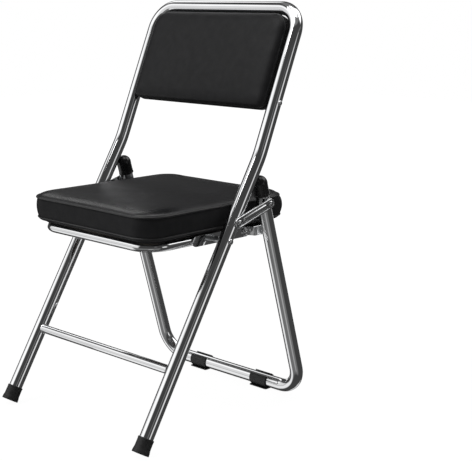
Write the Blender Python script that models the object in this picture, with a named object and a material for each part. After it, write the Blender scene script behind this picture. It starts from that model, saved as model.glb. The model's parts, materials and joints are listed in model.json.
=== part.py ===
"""Padded folding chair: chromed tube frames, black padded seat and back.

Frame: +Z up, +Y to the rear of the chair, +X to the sitter's left. The origin is
on the floor, in the middle of the chair's footprint. Lengths are in metres.

Each side of the chair is a four-bar linkage: the main frame, the seat, the rear
leg frame and a stay link. Pivot A joins the seat to the main frame, pivot B the
seat to the rear frame, pivot C the stay link to the main frame and pivot D the
stay link to the rear frame.
"""
import math

import bmesh
import bpy
from mathutils import Matrix, Vector

# Clearances
GAP = 0.0003                 # between pieces that touch
TURN_CLEARANCE = 0.0004      # round a pin that something turns on

# Tubes
TUBE_R = 0.0133              # main and rear frames, 26.6 mm tube
TUBE_WALL = 0.0012
RAIL_R = 0.0088              # seat frame, 17.6 mm tube
CROSSBAR_R = 0.0086          # front crossbar, 17.2 mm tube
THIN_WALL = 0.001

# Main frame: two front legs that run on into the back
HALF_WIDTH = 0.200           # centre line of a leg from the middle of the chair
LEG_LEAN = math.radians(31.4)
BACK_LEAN = math.radians(23.3)
LEG_LENGTH = 0.600           # floor to the knee, along the leg
BACK_LENGTH = 0.2967         # knee to the top bar's centre line
KNEE_RADIUS = 0.20
TOP_CORNER_RADIUS = 0.050
CROSSBAR_UP_LEG = 0.1666

# Rear frame: one U with its bar on the floor
STANCE = 0.4408              # leg on the floor to the rear bar's centre line
REAR_INSET = 0.0017          # rear tubes stand this much closer than the legs
REAR_CORNER_RADIUS = 0.055

# Linkage
SEAT_PIVOT_UP_LEG = 0.4255   # A, from the floor along the leg
REAR_PIVOT_BEHIND = 0.0844   # B behind A
REAR_PIVOT_ABOVE = 0.0015    # B above A
LINK_PIVOT_ABOVE = 0.039     # C above A, along the leg
LINK_RUN = 0.0846            # D behind C
LINK_RISE = 0.0255           # D above C

# Rubber: foot caps, rear caps and saddles
CAP_BORE = TUBE_R + GAP
FOOT_WALL = 0.0014           # at the neck
FOOT_FLARE = 0.0015          # sole's edge past the neck
FOOT_FLARE_HEIGHT = 0.0105
FOOT_FLARE_END = 0.0003      # flare that is left at that height
FOOT_LENGTH = 0.030
FOOT_SOLE = 0.005
FOOT_RIM = 0.0012            # chamfer at the sole and at the neck
FOOT_FLAT_DEPTH = 0.0012     # worn flat where the sole's rear edge meets the floor
REAR_CAP_WALL = 0.0019
REAR_CAP_ABOVE_PIVOT = 0.0150
REAR_CAP_SKIRT = 0.0245
REAR_CAP_RIM = 0.001
SADDLE_WALL = 0.0020
SADDLE_BASE = 0.0020
SADDLE_RISE = 0.012          # wall's top above the bar's centre line
SADDLE_LENGTH = 0.042
SADDLE_EDGE = 0.0007         # chamfer on the saddle's edges
SADDLE_FLANGE = 0.003        # base reaches past the walls at each end
SADDLE_FLANGE_THICKNESS = 0.0018
SADDLE_FLANGE_SET_IN = 0.0006
SADDLE_NEAR_CORNER = 0.108   # saddle's centre from the rear tube's centre line

# Seat
RAIL_RISE = 0.0008           # rail's centre line above pivot A
SEAT_FRONT = 0.1738          # cushion's front edge ahead of pivot A
SEAT_REAR = 0.2102           # cushion's rear edge behind pivot A
CUSHION_SIDE_ROOM = 0.0052   # cushion's side to the leg's inner face
CUSHION_WALL = 0.0457        # bottom to the upper welt
CUSHION_CROWN = 0.0110       # welt to the top of the crown
CUSHION_CORNER = 0.050
CUSHION_DRAW_IN = 0.0025     # sides pull in between the corners
BOARD_THICKNESS = 0.0042
BOARD_INSET = 0.0215
RAIL_FRONT_INSET = 0.0228    # front bar's centre line behind the cushion's front
RAIL_CORNER_RADIUS = 0.045
RAIL_PAST_STRAP = 0.018      # rail's end behind the rear strap
STRAP_THICKNESS = 0.002
STRAP_WIDTH = 0.024
STRAP_DROP = 0.015
STRAP_BEND = 0.001           # inner radius where its ends turn down
STRAP_FROM_BEND = 0.008      # front strap's edge behind the rail's bend
STRAP_BEHIND_PIVOT = 0.0456  # rear strap's centre line behind pivot B
STRAP_BOLT_DROP = 0.001      # bolt below the rail's centre line
BOARD_SCREW_X = 0.075
BOARD_SCREW_BITE = 0.0028    # length inside the board
SCREW_R = 0.0022
SCREW_HEAD_R = 0.0045
SCREW_HEAD = 0.0025
SCREW_CHAMFER = 0.0012
STRAP_NUT = 0.004

# Pivot hardware
SHANK_R = 0.003
HEAD_R = 0.0058
HEAD_RISE = 0.0032
HEAD_RIM = 0.0006            # straight edge under a domed head
TAIL_R = 0.0048
TAIL_RISE = 0.0022
TAIL_CHAMFER = 0.0009
PIVOT_NUT = 0.0045
PIVOT_NUT_R = 0.0052
PIVOT_SPACER = 0.0163        # leg's inner face to the seat bracket
SPACER_R = 0.0065
WASHER_R = 0.0075
LEG_WASHER = 0.001
BRACKET_THICKNESS = 0.002
BRACKET_HEIGHT = 0.020
BRACKET_FRONT = 0.055        # ahead of pivot A
BRACKET_REAR = 0.012         # behind pivot B
LUG_THICKNESS = 0.0025
LUG_HEIGHT = 0.017
LUG_BEND_NEAR = 0.008        # crank of the lug, behind pivot B
LUG_BEND_FAR = 0.012
LUG_TAIL = 0.004             # behind the rear tube's centre line
LINK_THICKNESS = 0.002
LINK_WIDTH = 0.020
LINK_EDGE = 0.0005           # chamfer
RIB_R = 0.0042
RIB_RISE = 0.0022
RIB_FROM_PIVOT = 0.016
RIB_PROFILE = ((0, 1.0), (0.6, 0.85), (1, 0.45))   # share of the rise, share of the radius

# Back
PAD_SIDE_GAP = 0.0015        # pad to the tubes round it
PAD_BOTTOM = 0.0905          # lower edge above the knee, along the back
PAD_BOTTOM_CORNER = 0.016
PAD_FRONT = 0.0275           # pad's face ahead of the tubes' centre plane
PAD_REAR = 0.0105            # rear cover's face behind that plane
PAD_CROWN = 0.0035
BACK_BOARD_THICKNESS = 0.009
BACK_BOARD_INSET = 0.0015
PAD_BOLT_UP_BACK = 0.107
PAD_BOLT_R = 0.0025
PAD_BOLT_HEAD_R = 0.0048
PAD_BOLT_HEAD = 0.0026
PAD_BOLT_GRIP = 0.014        # length inside the board

# Soft forms as sections: share of the height or depth, then inset from the outline
CUSHION_BORDER = ((0, 0.0115), (0.05, 0.0068), (0.10, 0.0042), (0.15, 0.0050), (0.30, 0.0012),
                  (0.52, 0), (0.74, 0.0010), (0.93, 0.0042), (1, 0.0028))
CUSHION_TOP = ((0.12, 0.0042), (0.36, 0.0052), (0.62, 0.0095), (0.80, 0.0180), (0.91, 0.0400),
               (0.98, 0.0800), (1, 0.1200))
CUSHION_LEAST_CORNER = 0.010
PAD_EDGE = ((0, 0.0030), (0.10, 0.0006), (0.45, 0), (0.74, 0.0010), (0.91, 0.0036), (1, 0.0085))
PAD_FACE = ((0.45, 0.0200), (0.80, 0.0400), (1, 0.0700))
COVER_EDGE = ((0, 0.0030), (0.25, 0.0010), (0.60, 0.0025), (0.85, 0.0070), (1, 0.0200))
PAD_LEAST_CORNER = 0.3       # share of a corner's radius that the inset sections keep

# Facets
TUBE_SIDES = 20
RAIL_SIDES = 16
PIN_SIDES = 12
CAP_SIDES = 24
KNEE_STEPS = 3
ARC_STEPS = 6
BEND_STEPS = 3
CORNER_STEPS = 8
SIDE_STEPS = 6
DOME_STEPS = 4
SHARP_EDGE = math.radians(40)

LEFT, RIGHT = 1, -1
SIDES = (("left", LEFT), ("right", RIGHT))

# Side view: directions along and across the tubes
LEG_DIR = Vector((0, math.sin(LEG_LEAN), math.cos(LEG_LEAN)))
BACK_DIR = Vector((0, math.sin(BACK_LEAN), math.cos(BACK_LEAN)))
BACK_NORMAL = Vector((0, math.cos(BACK_LEAN), -math.sin(BACK_LEAN)))

# Caps on the tubes' ends
FOOT_NECK_R = CAP_BORE + FOOT_WALL
FOOT_R = FOOT_NECK_R + FOOT_FLARE
REAR_CAP_R = CAP_BORE + REAR_CAP_WALL

# Footprint: its front edge is the front of the soles, its rear edge the saddles
SOLE_UP_LEG = (FOOT_R * math.sin(LEG_LEAN) - FOOT_FLAT_DEPTH) / math.cos(LEG_LEAN)
SOLE_FRONT = SOLE_UP_LEG * math.sin(LEG_LEAN) - FOOT_R * math.cos(LEG_LEAN)
SADDLE_HALF = TUBE_R + GAP + SADDLE_WALL
FOOT_Y = -(SOLE_FRONT + STANCE + SADDLE_HALF) / 2
REAR_BAR = Vector((0, FOOT_Y + STANCE, SADDLE_BASE + GAP + TUBE_R))
REAR_HALF_WIDTH = HALF_WIDTH - REAR_INSET

# Places across the chair, on the left side
LEG_INNER = HALF_WIDTH - TUBE_R
LEG_OUTER = HALF_WIDTH + TUBE_R
REAR_INNER = REAR_HALF_WIDTH - TUBE_R
REAR_OUTER = REAR_HALF_WIDTH + TUBE_R
BRACKET_OUTER = LEG_INNER - GAP - PIVOT_SPACER - GAP
RAIL_OUTER = BRACKET_OUTER - BRACKET_THICKNESS - GAP
RAIL_X = RAIL_OUTER - RAIL_R
RAIL_INNER = RAIL_X - RAIL_R
LUG_INNER = BRACKET_OUTER + GAP
LUG_OUTER = LUG_INNER + LUG_THICKNESS
LINK_INNER = LEG_OUTER + GAP + LEG_WASHER + GAP
LINK_OUTER = LINK_INNER + LINK_THICKNESS


def leg_point(up, x=0.0):
    """Point on a leg's centre line, `up` metres from the floor along it."""
    return Vector((x, FOOT_Y, 0)) + up * LEG_DIR


def back_point(up, ahead=0.0, x=0.0):
    """Point on the back, `up` metres from the knee, `ahead` of the tubes' plane."""
    return leg_point(LEG_LENGTH, x) + up * BACK_DIR - ahead * BACK_NORMAL


PIVOT_A = leg_point(SEAT_PIVOT_UP_LEG)
PIVOT_B = PIVOT_A + Vector((0, REAR_PIVOT_BEHIND, REAR_PIVOT_ABOVE))
PIVOT_C = leg_point(SEAT_PIVOT_UP_LEG + LINK_PIVOT_ABOVE)
PIVOT_D = PIVOT_C + Vector((0, LINK_RUN, LINK_RISE))
LINK_LENGTH = (PIVOT_D - PIVOT_C).length

# The rear tubes run from the rear bar on the floor up through pivot D
LINK_PIVOT_UP_REAR = (PIVOT_D - REAR_BAR).length
REAR_DIR = (PIVOT_D - REAR_BAR).normalized()


def rear_point(up, x=0.0):
    """Point on a rear tube's centre line, `up` metres from the rear bar."""
    return REAR_BAR + Vector((x, 0, 0)) + up * REAR_DIR


REAR_STRAP = REAR_PIVOT_BEHIND + STRAP_BEHIND_PIVOT
RAIL_REAR = REAR_STRAP + STRAP_WIDTH / 2 + RAIL_PAST_STRAP
RAIL_Z = PIVOT_A.z + RAIL_RISE
BOARD_Z = RAIL_Z + RAIL_R + GAP
CUSHION_Z = BOARD_Z + BOARD_THICKNESS + GAP
CUSHION_HALF_WIDTH = LEG_INNER - CUSHION_SIDE_ROOM
RAIL_BEND = SEAT_FRONT - RAIL_FRONT_INSET - RAIL_CORNER_RADIUS
FRONT_STRAP = RAIL_BEND - STRAP_FROM_BEND - STRAP_WIDTH / 2
CUSHION_FRONT_Y = PIVOT_A.y - SEAT_FRONT
CUSHION_REAR_Y = PIVOT_A.y + SEAT_REAR


# Scene helpers

def clear_scene():
    for item in list(bpy.data.objects):
        bpy.data.objects.remove(item, do_unlink=True)


def make_material(name, colour, metallic, roughness):
    material = bpy.data.materials.new(name)
    material.use_nodes = True
    shader = material.node_tree.nodes["Principled BSDF"]
    shader.inputs["Base Color"].default_value = (*colour, 1)
    shader.inputs["Metallic"].default_value = metallic
    shader.inputs["Roughness"].default_value = roughness
    return material


def make_hinge(name, place):
    """Empty on a joint's axis, which carries the pieces that turn about it."""
    hinge = bpy.data.objects.new(name, None)
    hinge.location = place
    hinge.empty_display_size = 0.02
    bpy.context.scene.collection.objects.link(hinge)
    return hinge


def add_object(name, bm, finish, place=(0, 0, 0), turn=None, hinge=None):
    """Turn a bmesh into a named object at a world place, carried by its hinge."""
    bmesh.ops.recalc_face_normals(bm, faces=bm.faces)
    if bm.calc_volume(signed=True) < 0:
        bmesh.ops.reverse_faces(bm, faces=bm.faces)
    mesh = bpy.data.meshes.new(name)
    bm.to_mesh(mesh)
    bm.free()
    mesh.shade_smooth()
    mesh.set_sharp_from_angle(angle=SHARP_EDGE)
    piece = bpy.data.objects.new(name, mesh)
    if finish:
        mesh.materials.append(finish)
    piece.location = Vector(place)
    if hinge:
        piece.parent = hinge
        piece.location -= hinge.location
    if turn:
        piece.rotation_euler = turn.to_euler()
    bpy.context.scene.collection.objects.link(piece)
    return piece


def add_cutter(name, bm, place=(0, 0, 0), turn=None):
    cutter = add_object(name, bm, None, place, turn)
    cutter.hide_render = True
    cutter.display_type = "WIRE"
    return cutter


def combine(piece, tool, operation):
    modifier = piece.modifiers.new(tool.name, "BOOLEAN")
    modifier.operation = operation
    modifier.object = tool
    modifier.solver = "EXACT"


def chamfer(piece, width):
    modifier = piece.modifiers.new("chamfer", "BEVEL")
    modifier.width = width
    modifier.segments = 1
    modifier.limit_method = "ANGLE"
    modifier.angle_limit = SHARP_EDGE


def axis_turn(direction):
    """Rotation that takes local +Z to the given direction."""
    return Vector((0, 0, 1)).rotation_difference(Vector(direction)).to_matrix()


def side_turn(angle=0.0):
    """Local +X to the rear, raised by angle; local +Y up; local +Z to the left."""
    flat = Matrix(((0, 0, 1), (1, 0, 0), (0, 1, 0)))
    return Matrix.Rotation(angle, 3, "X") @ flat


# Shape helpers

def rounded_path(corners, bends):
    """Points along straight runs whose corners are rounded; bends are (radius, steps)."""
    path = [corners[0]]
    for index in range(1, len(corners) - 1):
        corner = corners[index]
        back = (corners[index - 1] - corner).normalized()
        ahead = (corners[index + 1] - corner).normalized()
        half = back.angle(ahead) / 2
        radius, steps = bends[index - 1]
        centre = corner + (back + ahead).normalized() * radius / math.sin(half)
        start = corner + back * radius / math.tan(half) - centre
        sweep = math.pi - 2 * half
        axis = back.cross(ahead)
        for step in range(steps + 1):
            turn = Matrix.Rotation(-sweep * step / steps, 3, axis)
            path.append(centre + turn @ start)
    path.append(corners[-1])
    return path


def sweep_tube(path, radius, wall, sides):
    """Hollow tube with open ends along a path."""
    bm = bmesh.new()
    tangents = []
    for index, point in enumerate(path):
        before = path[max(index - 1, 0)]
        after = path[min(index + 1, len(path) - 1)]
        one = (point - before).normalized()
        two = (after - point).normalized()
        tangents.append((one + two).normalized())
    normal = tangents[0].orthogonal().normalized()
    rings = {radius: [], radius - wall: []}
    for index, point in enumerate(path):
        if index:
            normal = tangents[index - 1].rotation_difference(tangents[index]) @ normal
        other = tangents[index].cross(normal)
        for size, made in rings.items():
            ring = []
            for k in range(sides):
                angle = 2 * math.pi * k / sides
                offset = normal * math.cos(angle) + other * math.sin(angle)
                ring.append(bm.verts.new(point + size * offset))
            made.append(ring)
    outer, inner = rings.values()
    for skin in (outer, inner):
        for first, second in zip(skin, skin[1:]):
            join_rings(bm, first, second)
    join_rings(bm, outer[0], inner[0])
    join_rings(bm, outer[-1], inner[-1])
    return bm


def join_rings(bm, first, second):
    count = len(first)
    for k in range(count):
        after = (k + 1) % count
        bm.faces.new((first[k], first[after], second[after], second[k]))


def turned(profile, sides, closed=False):
    """Solid of revolution about Z. Profile points are (radius, height)."""
    bm = bmesh.new()
    rings = []
    for radius, height in profile:
        if radius == 0:
            rings.append([bm.verts.new((0, 0, height))])
            continue
        ring = []
        for k in range(sides):
            angle = 2 * math.pi * k / sides
            place = (radius * math.cos(angle), radius * math.sin(angle), height)
            ring.append(bm.verts.new(place))
        rings.append(ring)
    pairs = list(zip(rings, rings[1:]))
    if closed:
        pairs.append((rings[-1], rings[0]))
    for first, second in pairs:
        if len(first) == 1 and len(second) == 1:
            continue
        if len(first) == 1 or len(second) == 1:
            tip, ring = (first, second) if len(first) == 1 else (second, first)
            for k in range(sides):
                bm.faces.new((tip[0], ring[k], ring[(k + 1) % sides]))
        else:
            join_rings(bm, first, second)
    return bm


def rod(radius, length, sides=PIN_SIDES):
    return turned([(0, 0), (radius, 0), (radius, length), (0, length)], sides)


def washer(inner, outer, thickness, sides=PIN_SIDES):
    profile = [(inner, 0), (outer, 0), (outer, thickness), (inner, thickness)]
    return turned(profile, sides, closed=True)


def dome(radius, rise, height, steps=DOME_STEPS):
    """Profile of a dome from its rim at the given height to its tip on the axis."""
    points = []
    for step in range(steps):
        angle = math.pi / 2 * step / steps
        points.append((radius * math.cos(angle), height + rise * math.sin(angle)))
    return points + [(0, height + rise)]


def block(low, high):
    bm = bmesh.new()
    middle = (Vector(low) + Vector(high)) / 2
    size = Vector(high) - Vector(low)
    place = Matrix.Translation(middle) @ Matrix.Diagonal((*size, 1))
    bmesh.ops.create_cube(bm, size=1, matrix=place)
    return bm


def arc(centre, radius, start, end, steps):
    """Points on an arc; angles in degrees."""
    points = []
    for step in range(steps + 1):
        angle = math.radians(start + (end - start) * step / steps)
        points.append((centre[0] + radius * math.cos(angle),
                       centre[1] + radius * math.sin(angle)))
    return points


def stadium(length, radius):
    """Strip with round ends whose centres are 0 and `length` along X."""
    return (arc((length, 0), radius, -90, 90, ARC_STEPS)
            + arc((0, 0), radius, 90, 270, ARC_STEPS))


def rounded_rectangle(half_x, half_y, radii, draw_in=0.0):
    """Outline from the lower left corner; radii are for the low and the high Y side."""
    low, high = radii
    corners = [arc((half_x - low, low - half_y), low, -90, 0, CORNER_STEPS),
               arc((half_x - high, half_y - high), high, 0, 90, CORNER_STEPS),
               arc((high - half_x, half_y - high), high, 90, 180, CORNER_STEPS),
               arc((low - half_x, low - half_y), low, 180, 270, CORNER_STEPS)]
    inward = (Vector((-1, 0)), Vector((0, -1)), Vector((1, 0)), Vector((0, 1)))
    points = []
    for index, corner in enumerate(corners):
        points += corner
        start = Vector(corner[-1])
        end = Vector(corners[(index + 1) % 4][0])
        for step in range(1, SIDE_STEPS):
            share = step / SIDE_STEPS
            pull = draw_in * math.sin(math.pi * share) ** 2
            points.append(tuple(start.lerp(end, share) + pull * inward[index]))
    return points


def plate(outline, thickness, holes=()):
    """Flat plate on local XY. Holes are (x, y, radius)."""
    bm = bmesh.new()
    loops = [outline] + [arc(hole[:2], hole[2], 0, 360 - 360 / PIN_SIDES, PIN_SIDES - 1)
                         for hole in holes]
    edges = []
    for loop in loops:
        ring = [bm.verts.new((x, y, 0)) for x, y in loop]
        for k, vert in enumerate(ring):
            edges.append(bm.edges.new((vert, ring[(k + 1) % len(ring)])))
    made = bmesh.ops.triangle_fill(bm, edges=edges, use_beauty=True)
    faces = [item for item in made["geom"] if isinstance(item, bmesh.types.BMFace)]
    grown = bmesh.ops.extrude_face_region(bm, geom=faces, use_keep_orig=True)
    top = [item for item in grown["geom"] if isinstance(item, bmesh.types.BMVert)]
    bmesh.ops.translate(bm, verts=top, vec=(0, 0, thickness))
    return bm


def loft(rings):
    """Closed solid through rings of equal length; both ends are closed to a point."""
    bm = bmesh.new()
    made = [[bm.verts.new(point) for point in ring] for ring in rings]
    for first, second in zip(made, made[1:]):
        join_rings(bm, first, second)
    for ring in (made[0], made[-1]):
        middle = sum((vert.co for vert in ring), Vector()) / len(ring)
        tip = bm.verts.new(middle)
        for k, vert in enumerate(ring):
            bm.faces.new((vert, ring[(k + 1) % len(ring)], tip))
    return bm


def hole_cutter(name, middles, direction, radius, half_length):
    """Cutter: round holes in one direction, each half_length to both sides of its middle."""
    bm = bmesh.new()
    turn = axis_turn(direction).to_4x4()
    for middle in middles:
        bmesh.ops.create_cone(bm, cap_ends=True, segments=PIN_SIDES, radius1=radius, radius2=radius,
                              depth=2 * half_length, matrix=Matrix.Translation(middle) @ turn)
    return add_cutter(name, bm)


def cross_holes(name, middles, radius, half_length):
    """Cutter: round holes across the chair."""
    return hole_cutter(name, middles, (1, 0, 0), radius, half_length)


def across(point, x):
    return Vector((x, point.y, point.z))


def pin_places(pivots, x):
    """Where the pivots' pins cross the tubes that stand x to the left and to the right."""
    return [across(pivot, side * x) for pivot in pivots for side in (LEFT, RIGHT)]


# Pieces that stand still with the main frame

def main_frame(finish):
    bottom = SOLE_UP_LEG + FOOT_SOLE + GAP
    ends = []
    for side in (LEFT, RIGHT):
        x = side * HALF_WIDTH
        ends.append([leg_point(bottom, x), leg_point(LEG_LENGTH, x), back_point(BACK_LENGTH, 0, x)])
    corners = ends[0] + ends[1][::-1]
    knee = (KNEE_RADIUS, KNEE_STEPS)
    top = (TOP_CORNER_RADIUS, ARC_STEPS)
    path = rounded_path(corners, [knee, top, top, knee])
    tube = add_object("main_frame_tube", sweep_tube(path, TUBE_R, TUBE_WALL, TUBE_SIDES), finish)
    pins = pin_places((PIVOT_A, PIVOT_C), HALF_WIDTH)
    bolts = [back_point(PAD_BOLT_UP_BACK, 0, side * HALF_WIDTH) for side in (LEFT, RIGHT)]
    reach = TUBE_R + TUBE_WALL
    combine(tube, cross_holes("leg_pin_holes", pins, SHANK_R + GAP, reach), "DIFFERENCE")
    combine(tube, cross_holes("pad_bolt_holes", bolts, PAD_BOLT_R + GAP, reach), "DIFFERENCE")


def front_crossbar(finish):
    ends = [leg_point(CROSSBAR_UP_LEG, side * HALF_WIDTH) for side in (LEFT, RIGHT)]
    bar = add_object("front_crossbar", sweep_tube(ends, CROSSBAR_R, THIN_WALL, RAIL_SIDES), finish)
    reach = 2 * TUBE_R
    for name, side in SIDES:
        mouth = rod(TUBE_R + GAP, 2 * reach, 2 * TUBE_SIDES)
        start = leg_point(CROSSBAR_UP_LEG - reach, side * HALF_WIDTH)
        combine(bar, add_cutter(f"crossbar_mouth_{name}", mouth, start, axis_turn(LEG_DIR)), "DIFFERENCE")


def foot_cap(name, side, finish):
    """Rubber cap on a leg's lower end, flared to its sole and cut level by the floor."""
    profile = [(0, 0), (FOOT_R - FOOT_RIM, 0), (FOOT_R, FOOT_RIM),
               (FOOT_NECK_R + FOOT_FLARE_END, FOOT_FLARE_HEIGHT),
               (FOOT_NECK_R, FOOT_LENGTH - FOOT_RIM), (FOOT_NECK_R - FOOT_RIM, FOOT_LENGTH),
               (CAP_BORE, FOOT_LENGTH), (CAP_BORE, FOOT_SOLE), (0, FOOT_SOLE)]
    sole = leg_point(SOLE_UP_LEG, side * HALF_WIDTH)
    cap = add_object(name, turned(profile, CAP_SIDES), finish, sole, axis_turn(LEG_DIR))
    reach = 3 * FOOT_R
    floor = block((-reach, -reach, -reach), (reach, reach, 0))
    combine(cap, add_cutter(name + "_floor", floor, (sole.x, sole.y, 0)), "DIFFERENCE")


def rivet_tail():
    """Profile of a rivet's closed tail, up to its shank."""
    return [(0, -TAIL_RISE), (TAIL_R - TAIL_CHAMFER, -TAIL_RISE), (TAIL_R, TAIL_CHAMFER - TAIL_RISE),
            (TAIL_R, 0), (SHANK_R, 0)]


def domed_head(radius, rise, height):
    """Profile of a domed head whose flat underside is at the given height."""
    return [(radius, height)] + dome(radius, rise, height + HEAD_RIM)


def leg_rivet(name, side, pivot, outer, inner, finish):
    """Rivet along X: domed head outside `outer`, closed tail inside `inner`."""
    grip = outer - inner + 2 * GAP
    profile = rivet_tail() + [(SHANK_R, grip)] + domed_head(HEAD_R, HEAD_RISE, grip)
    place = across(pivot, side * (inner - GAP))
    add_object(name, turned(profile, PIN_SIDES), finish, place, axis_turn((side, 0, 0)))


def pivot_ring(name, side, pivot, start, thickness, outer, finish, hinge=None):
    """Spacer or washer round a pin, from `start` outwards."""
    ring = washer(SHANK_R + GAP, outer, thickness)
    add_object(name, ring, finish, across(pivot, side * start), axis_turn((side, 0, 0)), hinge)


def pad_bolt(name, side, finish):
    end = LEG_INNER - PAD_SIDE_GAP - PAD_BOLT_GRIP
    grip = LEG_OUTER + GAP - end
    profile = [(0, 0), (PAD_BOLT_R, 0), (PAD_BOLT_R, grip)]
    profile += domed_head(PAD_BOLT_HEAD_R, PAD_BOLT_HEAD, grip)
    place = back_point(PAD_BOLT_UP_BACK, 0, side * end)
    add_object(name, turned(profile, PIN_SIDES), finish, place, axis_turn((side, 0, 0)))


# Back pad, built on the back's plane: local X left, local Y up the back, local Z ahead

PAD_HALF_WIDTH = LEG_INNER - PAD_SIDE_GAP
PAD_TOP = BACK_LENGTH - TUBE_R - PAD_SIDE_GAP
PAD_HALF_HEIGHT = (PAD_TOP - PAD_BOTTOM) / 2
PAD_MIDDLE = (PAD_TOP + PAD_BOTTOM) / 2
PAD_TOP_CORNER = TOP_CORNER_RADIUS - TUBE_R - PAD_SIDE_GAP
PAD_RADII = (PAD_BOTTOM_CORNER, PAD_TOP_CORNER)


def back_turn():
    """Local +X to the sitter's left, +Y up the back, +Z out of the back's front face."""
    columns = (Vector((1, 0, 0)), BACK_DIR, -BACK_NORMAL)
    return Matrix(columns).transposed()


def spread(sections, start, depth):
    """Sections in metres: (place along the depth, inset)."""
    return [(start + share * depth, inset) for share, inset in sections]


def pad_rings(levels):
    """Rings of the pad's outline; levels are (ahead, inset)."""
    rings = []
    for ahead, inset in levels:
        radii = [max(radius - inset, PAD_LEAST_CORNER * radius) for radius in PAD_RADII]
        outline = rounded_rectangle(PAD_HALF_WIDTH - inset, PAD_HALF_HEIGHT - inset, radii)
        rings.append([(x, y, ahead) for x, y in outline])
    return rings


def back_pad(finish):
    base = BACK_BOARD_THICKNESS / 2 + GAP
    face = PAD_FRONT - PAD_CROWN
    levels = spread(PAD_EDGE, base, face - base) + spread(PAD_FACE, face, PAD_CROWN)
    add_object("back_pad", loft(pad_rings(levels)), finish, back_point(PAD_MIDDLE), back_turn())


def back_cover(finish):
    base = BACK_BOARD_THICKNESS / 2 + GAP
    levels = spread(COVER_EDGE, -base, base - PAD_REAR)
    add_object("back_cover", loft(pad_rings(levels)), finish, back_point(PAD_MIDDLE), back_turn())


def back_board(finish):
    inset = BACK_BOARD_INSET
    radii = [radius - inset for radius in PAD_RADII]
    outline = rounded_rectangle(PAD_HALF_WIDTH - inset, PAD_HALF_HEIGHT - inset, radii)
    place = back_point(PAD_MIDDLE, -BACK_BOARD_THICKNESS / 2)
    board = add_object("back_board", plate(outline, BACK_BOARD_THICKNESS), finish, place, back_turn())
    reach = PAD_BOLT_GRIP + GAP
    places = [back_point(PAD_BOLT_UP_BACK, 0, side * PAD_HALF_WIDTH) for side in (LEFT, RIGHT)]
    combine(board, cross_holes("board_bolt_holes", places, PAD_BOLT_R + GAP, reach), "DIFFERENCE")


# Seat, which turns about pivot A

def seat_frame(finish, hinge):
    corners = []
    front = CUSHION_FRONT_Y + RAIL_FRONT_INSET
    for side in (LEFT, RIGHT):
        x = side * RAIL_X
        corners.append([Vector((x, PIVOT_A.y + RAIL_REAR, RAIL_Z)), Vector((x, front, RAIL_Z))])
    path = rounded_path(corners[0] + corners[1][::-1], [(RAIL_CORNER_RADIUS, ARC_STEPS)] * 2)
    path = [point - hinge.location for point in path]
    tube = add_object("seat_frame_tube", sweep_tube(path, RAIL_R, THIN_WALL, RAIL_SIDES), finish,
                      hinge.location, None, hinge)
    pins = pin_places((PIVOT_A, PIVOT_B), RAIL_X)
    bolts = [strap_bolt_place(side * RAIL_X) for side in (LEFT, RIGHT)]
    reach = RAIL_R + THIN_WALL
    combine(tube, cross_holes("rail_pin_holes", pins, SHANK_R + TURN_CLEARANCE, reach), "DIFFERENCE")
    combine(tube, cross_holes("rail_bolt_holes", bolts, SCREW_R + GAP, reach), "DIFFERENCE")


def strap_bolt_place(x):
    return Vector((x, PIVOT_A.y + REAR_STRAP, RAIL_Z - STRAP_BOLT_DROP))


def seat_bracket(name, side, finish, hinge):
    """Plate on the rail's outer side that stiffens pivots A and B."""
    radius = BRACKET_HEIGHT / 2
    to_b = PIVOT_B.y - PIVOT_A.y
    length = to_b + BRACKET_REAR + BRACKET_FRONT - 2 * radius
    start = radius - BRACKET_FRONT
    lift = PIVOT_A.z - RAIL_Z
    outline = [(x + start, y) for x, y in stadium(length, radius)]
    clear = SHANK_R + TURN_CLEARANCE
    holes = [(0, lift, clear), (to_b, PIVOT_B.z - RAIL_Z, clear)]
    inner = BRACKET_OUTER - BRACKET_THICKNESS
    x = inner if side == LEFT else -BRACKET_OUTER
    place = (x, PIVOT_A.y, RAIL_Z)
    add_object(name, plate(outline, BRACKET_THICKNESS, holes), finish, place, side_turn(), hinge)


def seat_strap(name, offset, finish, hinge, bolted):
    """Strip across the seat, turned down at both rails, under the board."""
    half = RAIL_INNER - GAP
    top = BOARD_Z - GAP
    low = top - STRAP_DROP
    skin = STRAP_THICKNESS
    outer_bend = STRAP_BEND + skin
    left = (half - outer_bend, top - outer_bend)
    right = (outer_bend - half, top - outer_bend)
    outline = [(-half, low), (skin - half, low)] + arc(right, STRAP_BEND, 180, 90, BEND_STEPS)
    outline += arc(left, STRAP_BEND, 90, 0, BEND_STEPS) + [(half - skin, low), (half, low)]
    outline += arc(left, outer_bend, 0, 90, BEND_STEPS) + arc(right, outer_bend, 90, 180, BEND_STEPS)
    turn = Matrix(((1, 0, 0), (0, 0, -1), (0, 1, 0)))
    y = PIVOT_A.y + offset
    place = (0, y + STRAP_WIDTH / 2, 0)
    strap = add_object(name, plate(outline, STRAP_WIDTH), finish, place, turn, hinge)
    middles = [Vector((side * BOARD_SCREW_X, y, top - skin / 2)) for side in (LEFT, RIGHT)]
    holes = hole_cutter(name + "_screw_holes", middles, (0, 0, 1), SCREW_R + GAP, skin)
    combine(strap, holes, "DIFFERENCE")
    if bolted:
        middles = [strap_bolt_place(side * (half - skin / 2)) for side in (LEFT, RIGHT)]
        holes = cross_holes(name + "_bolt_holes", middles, SCREW_R + GAP, skin)
        combine(strap, holes, "DIFFERENCE")


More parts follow.
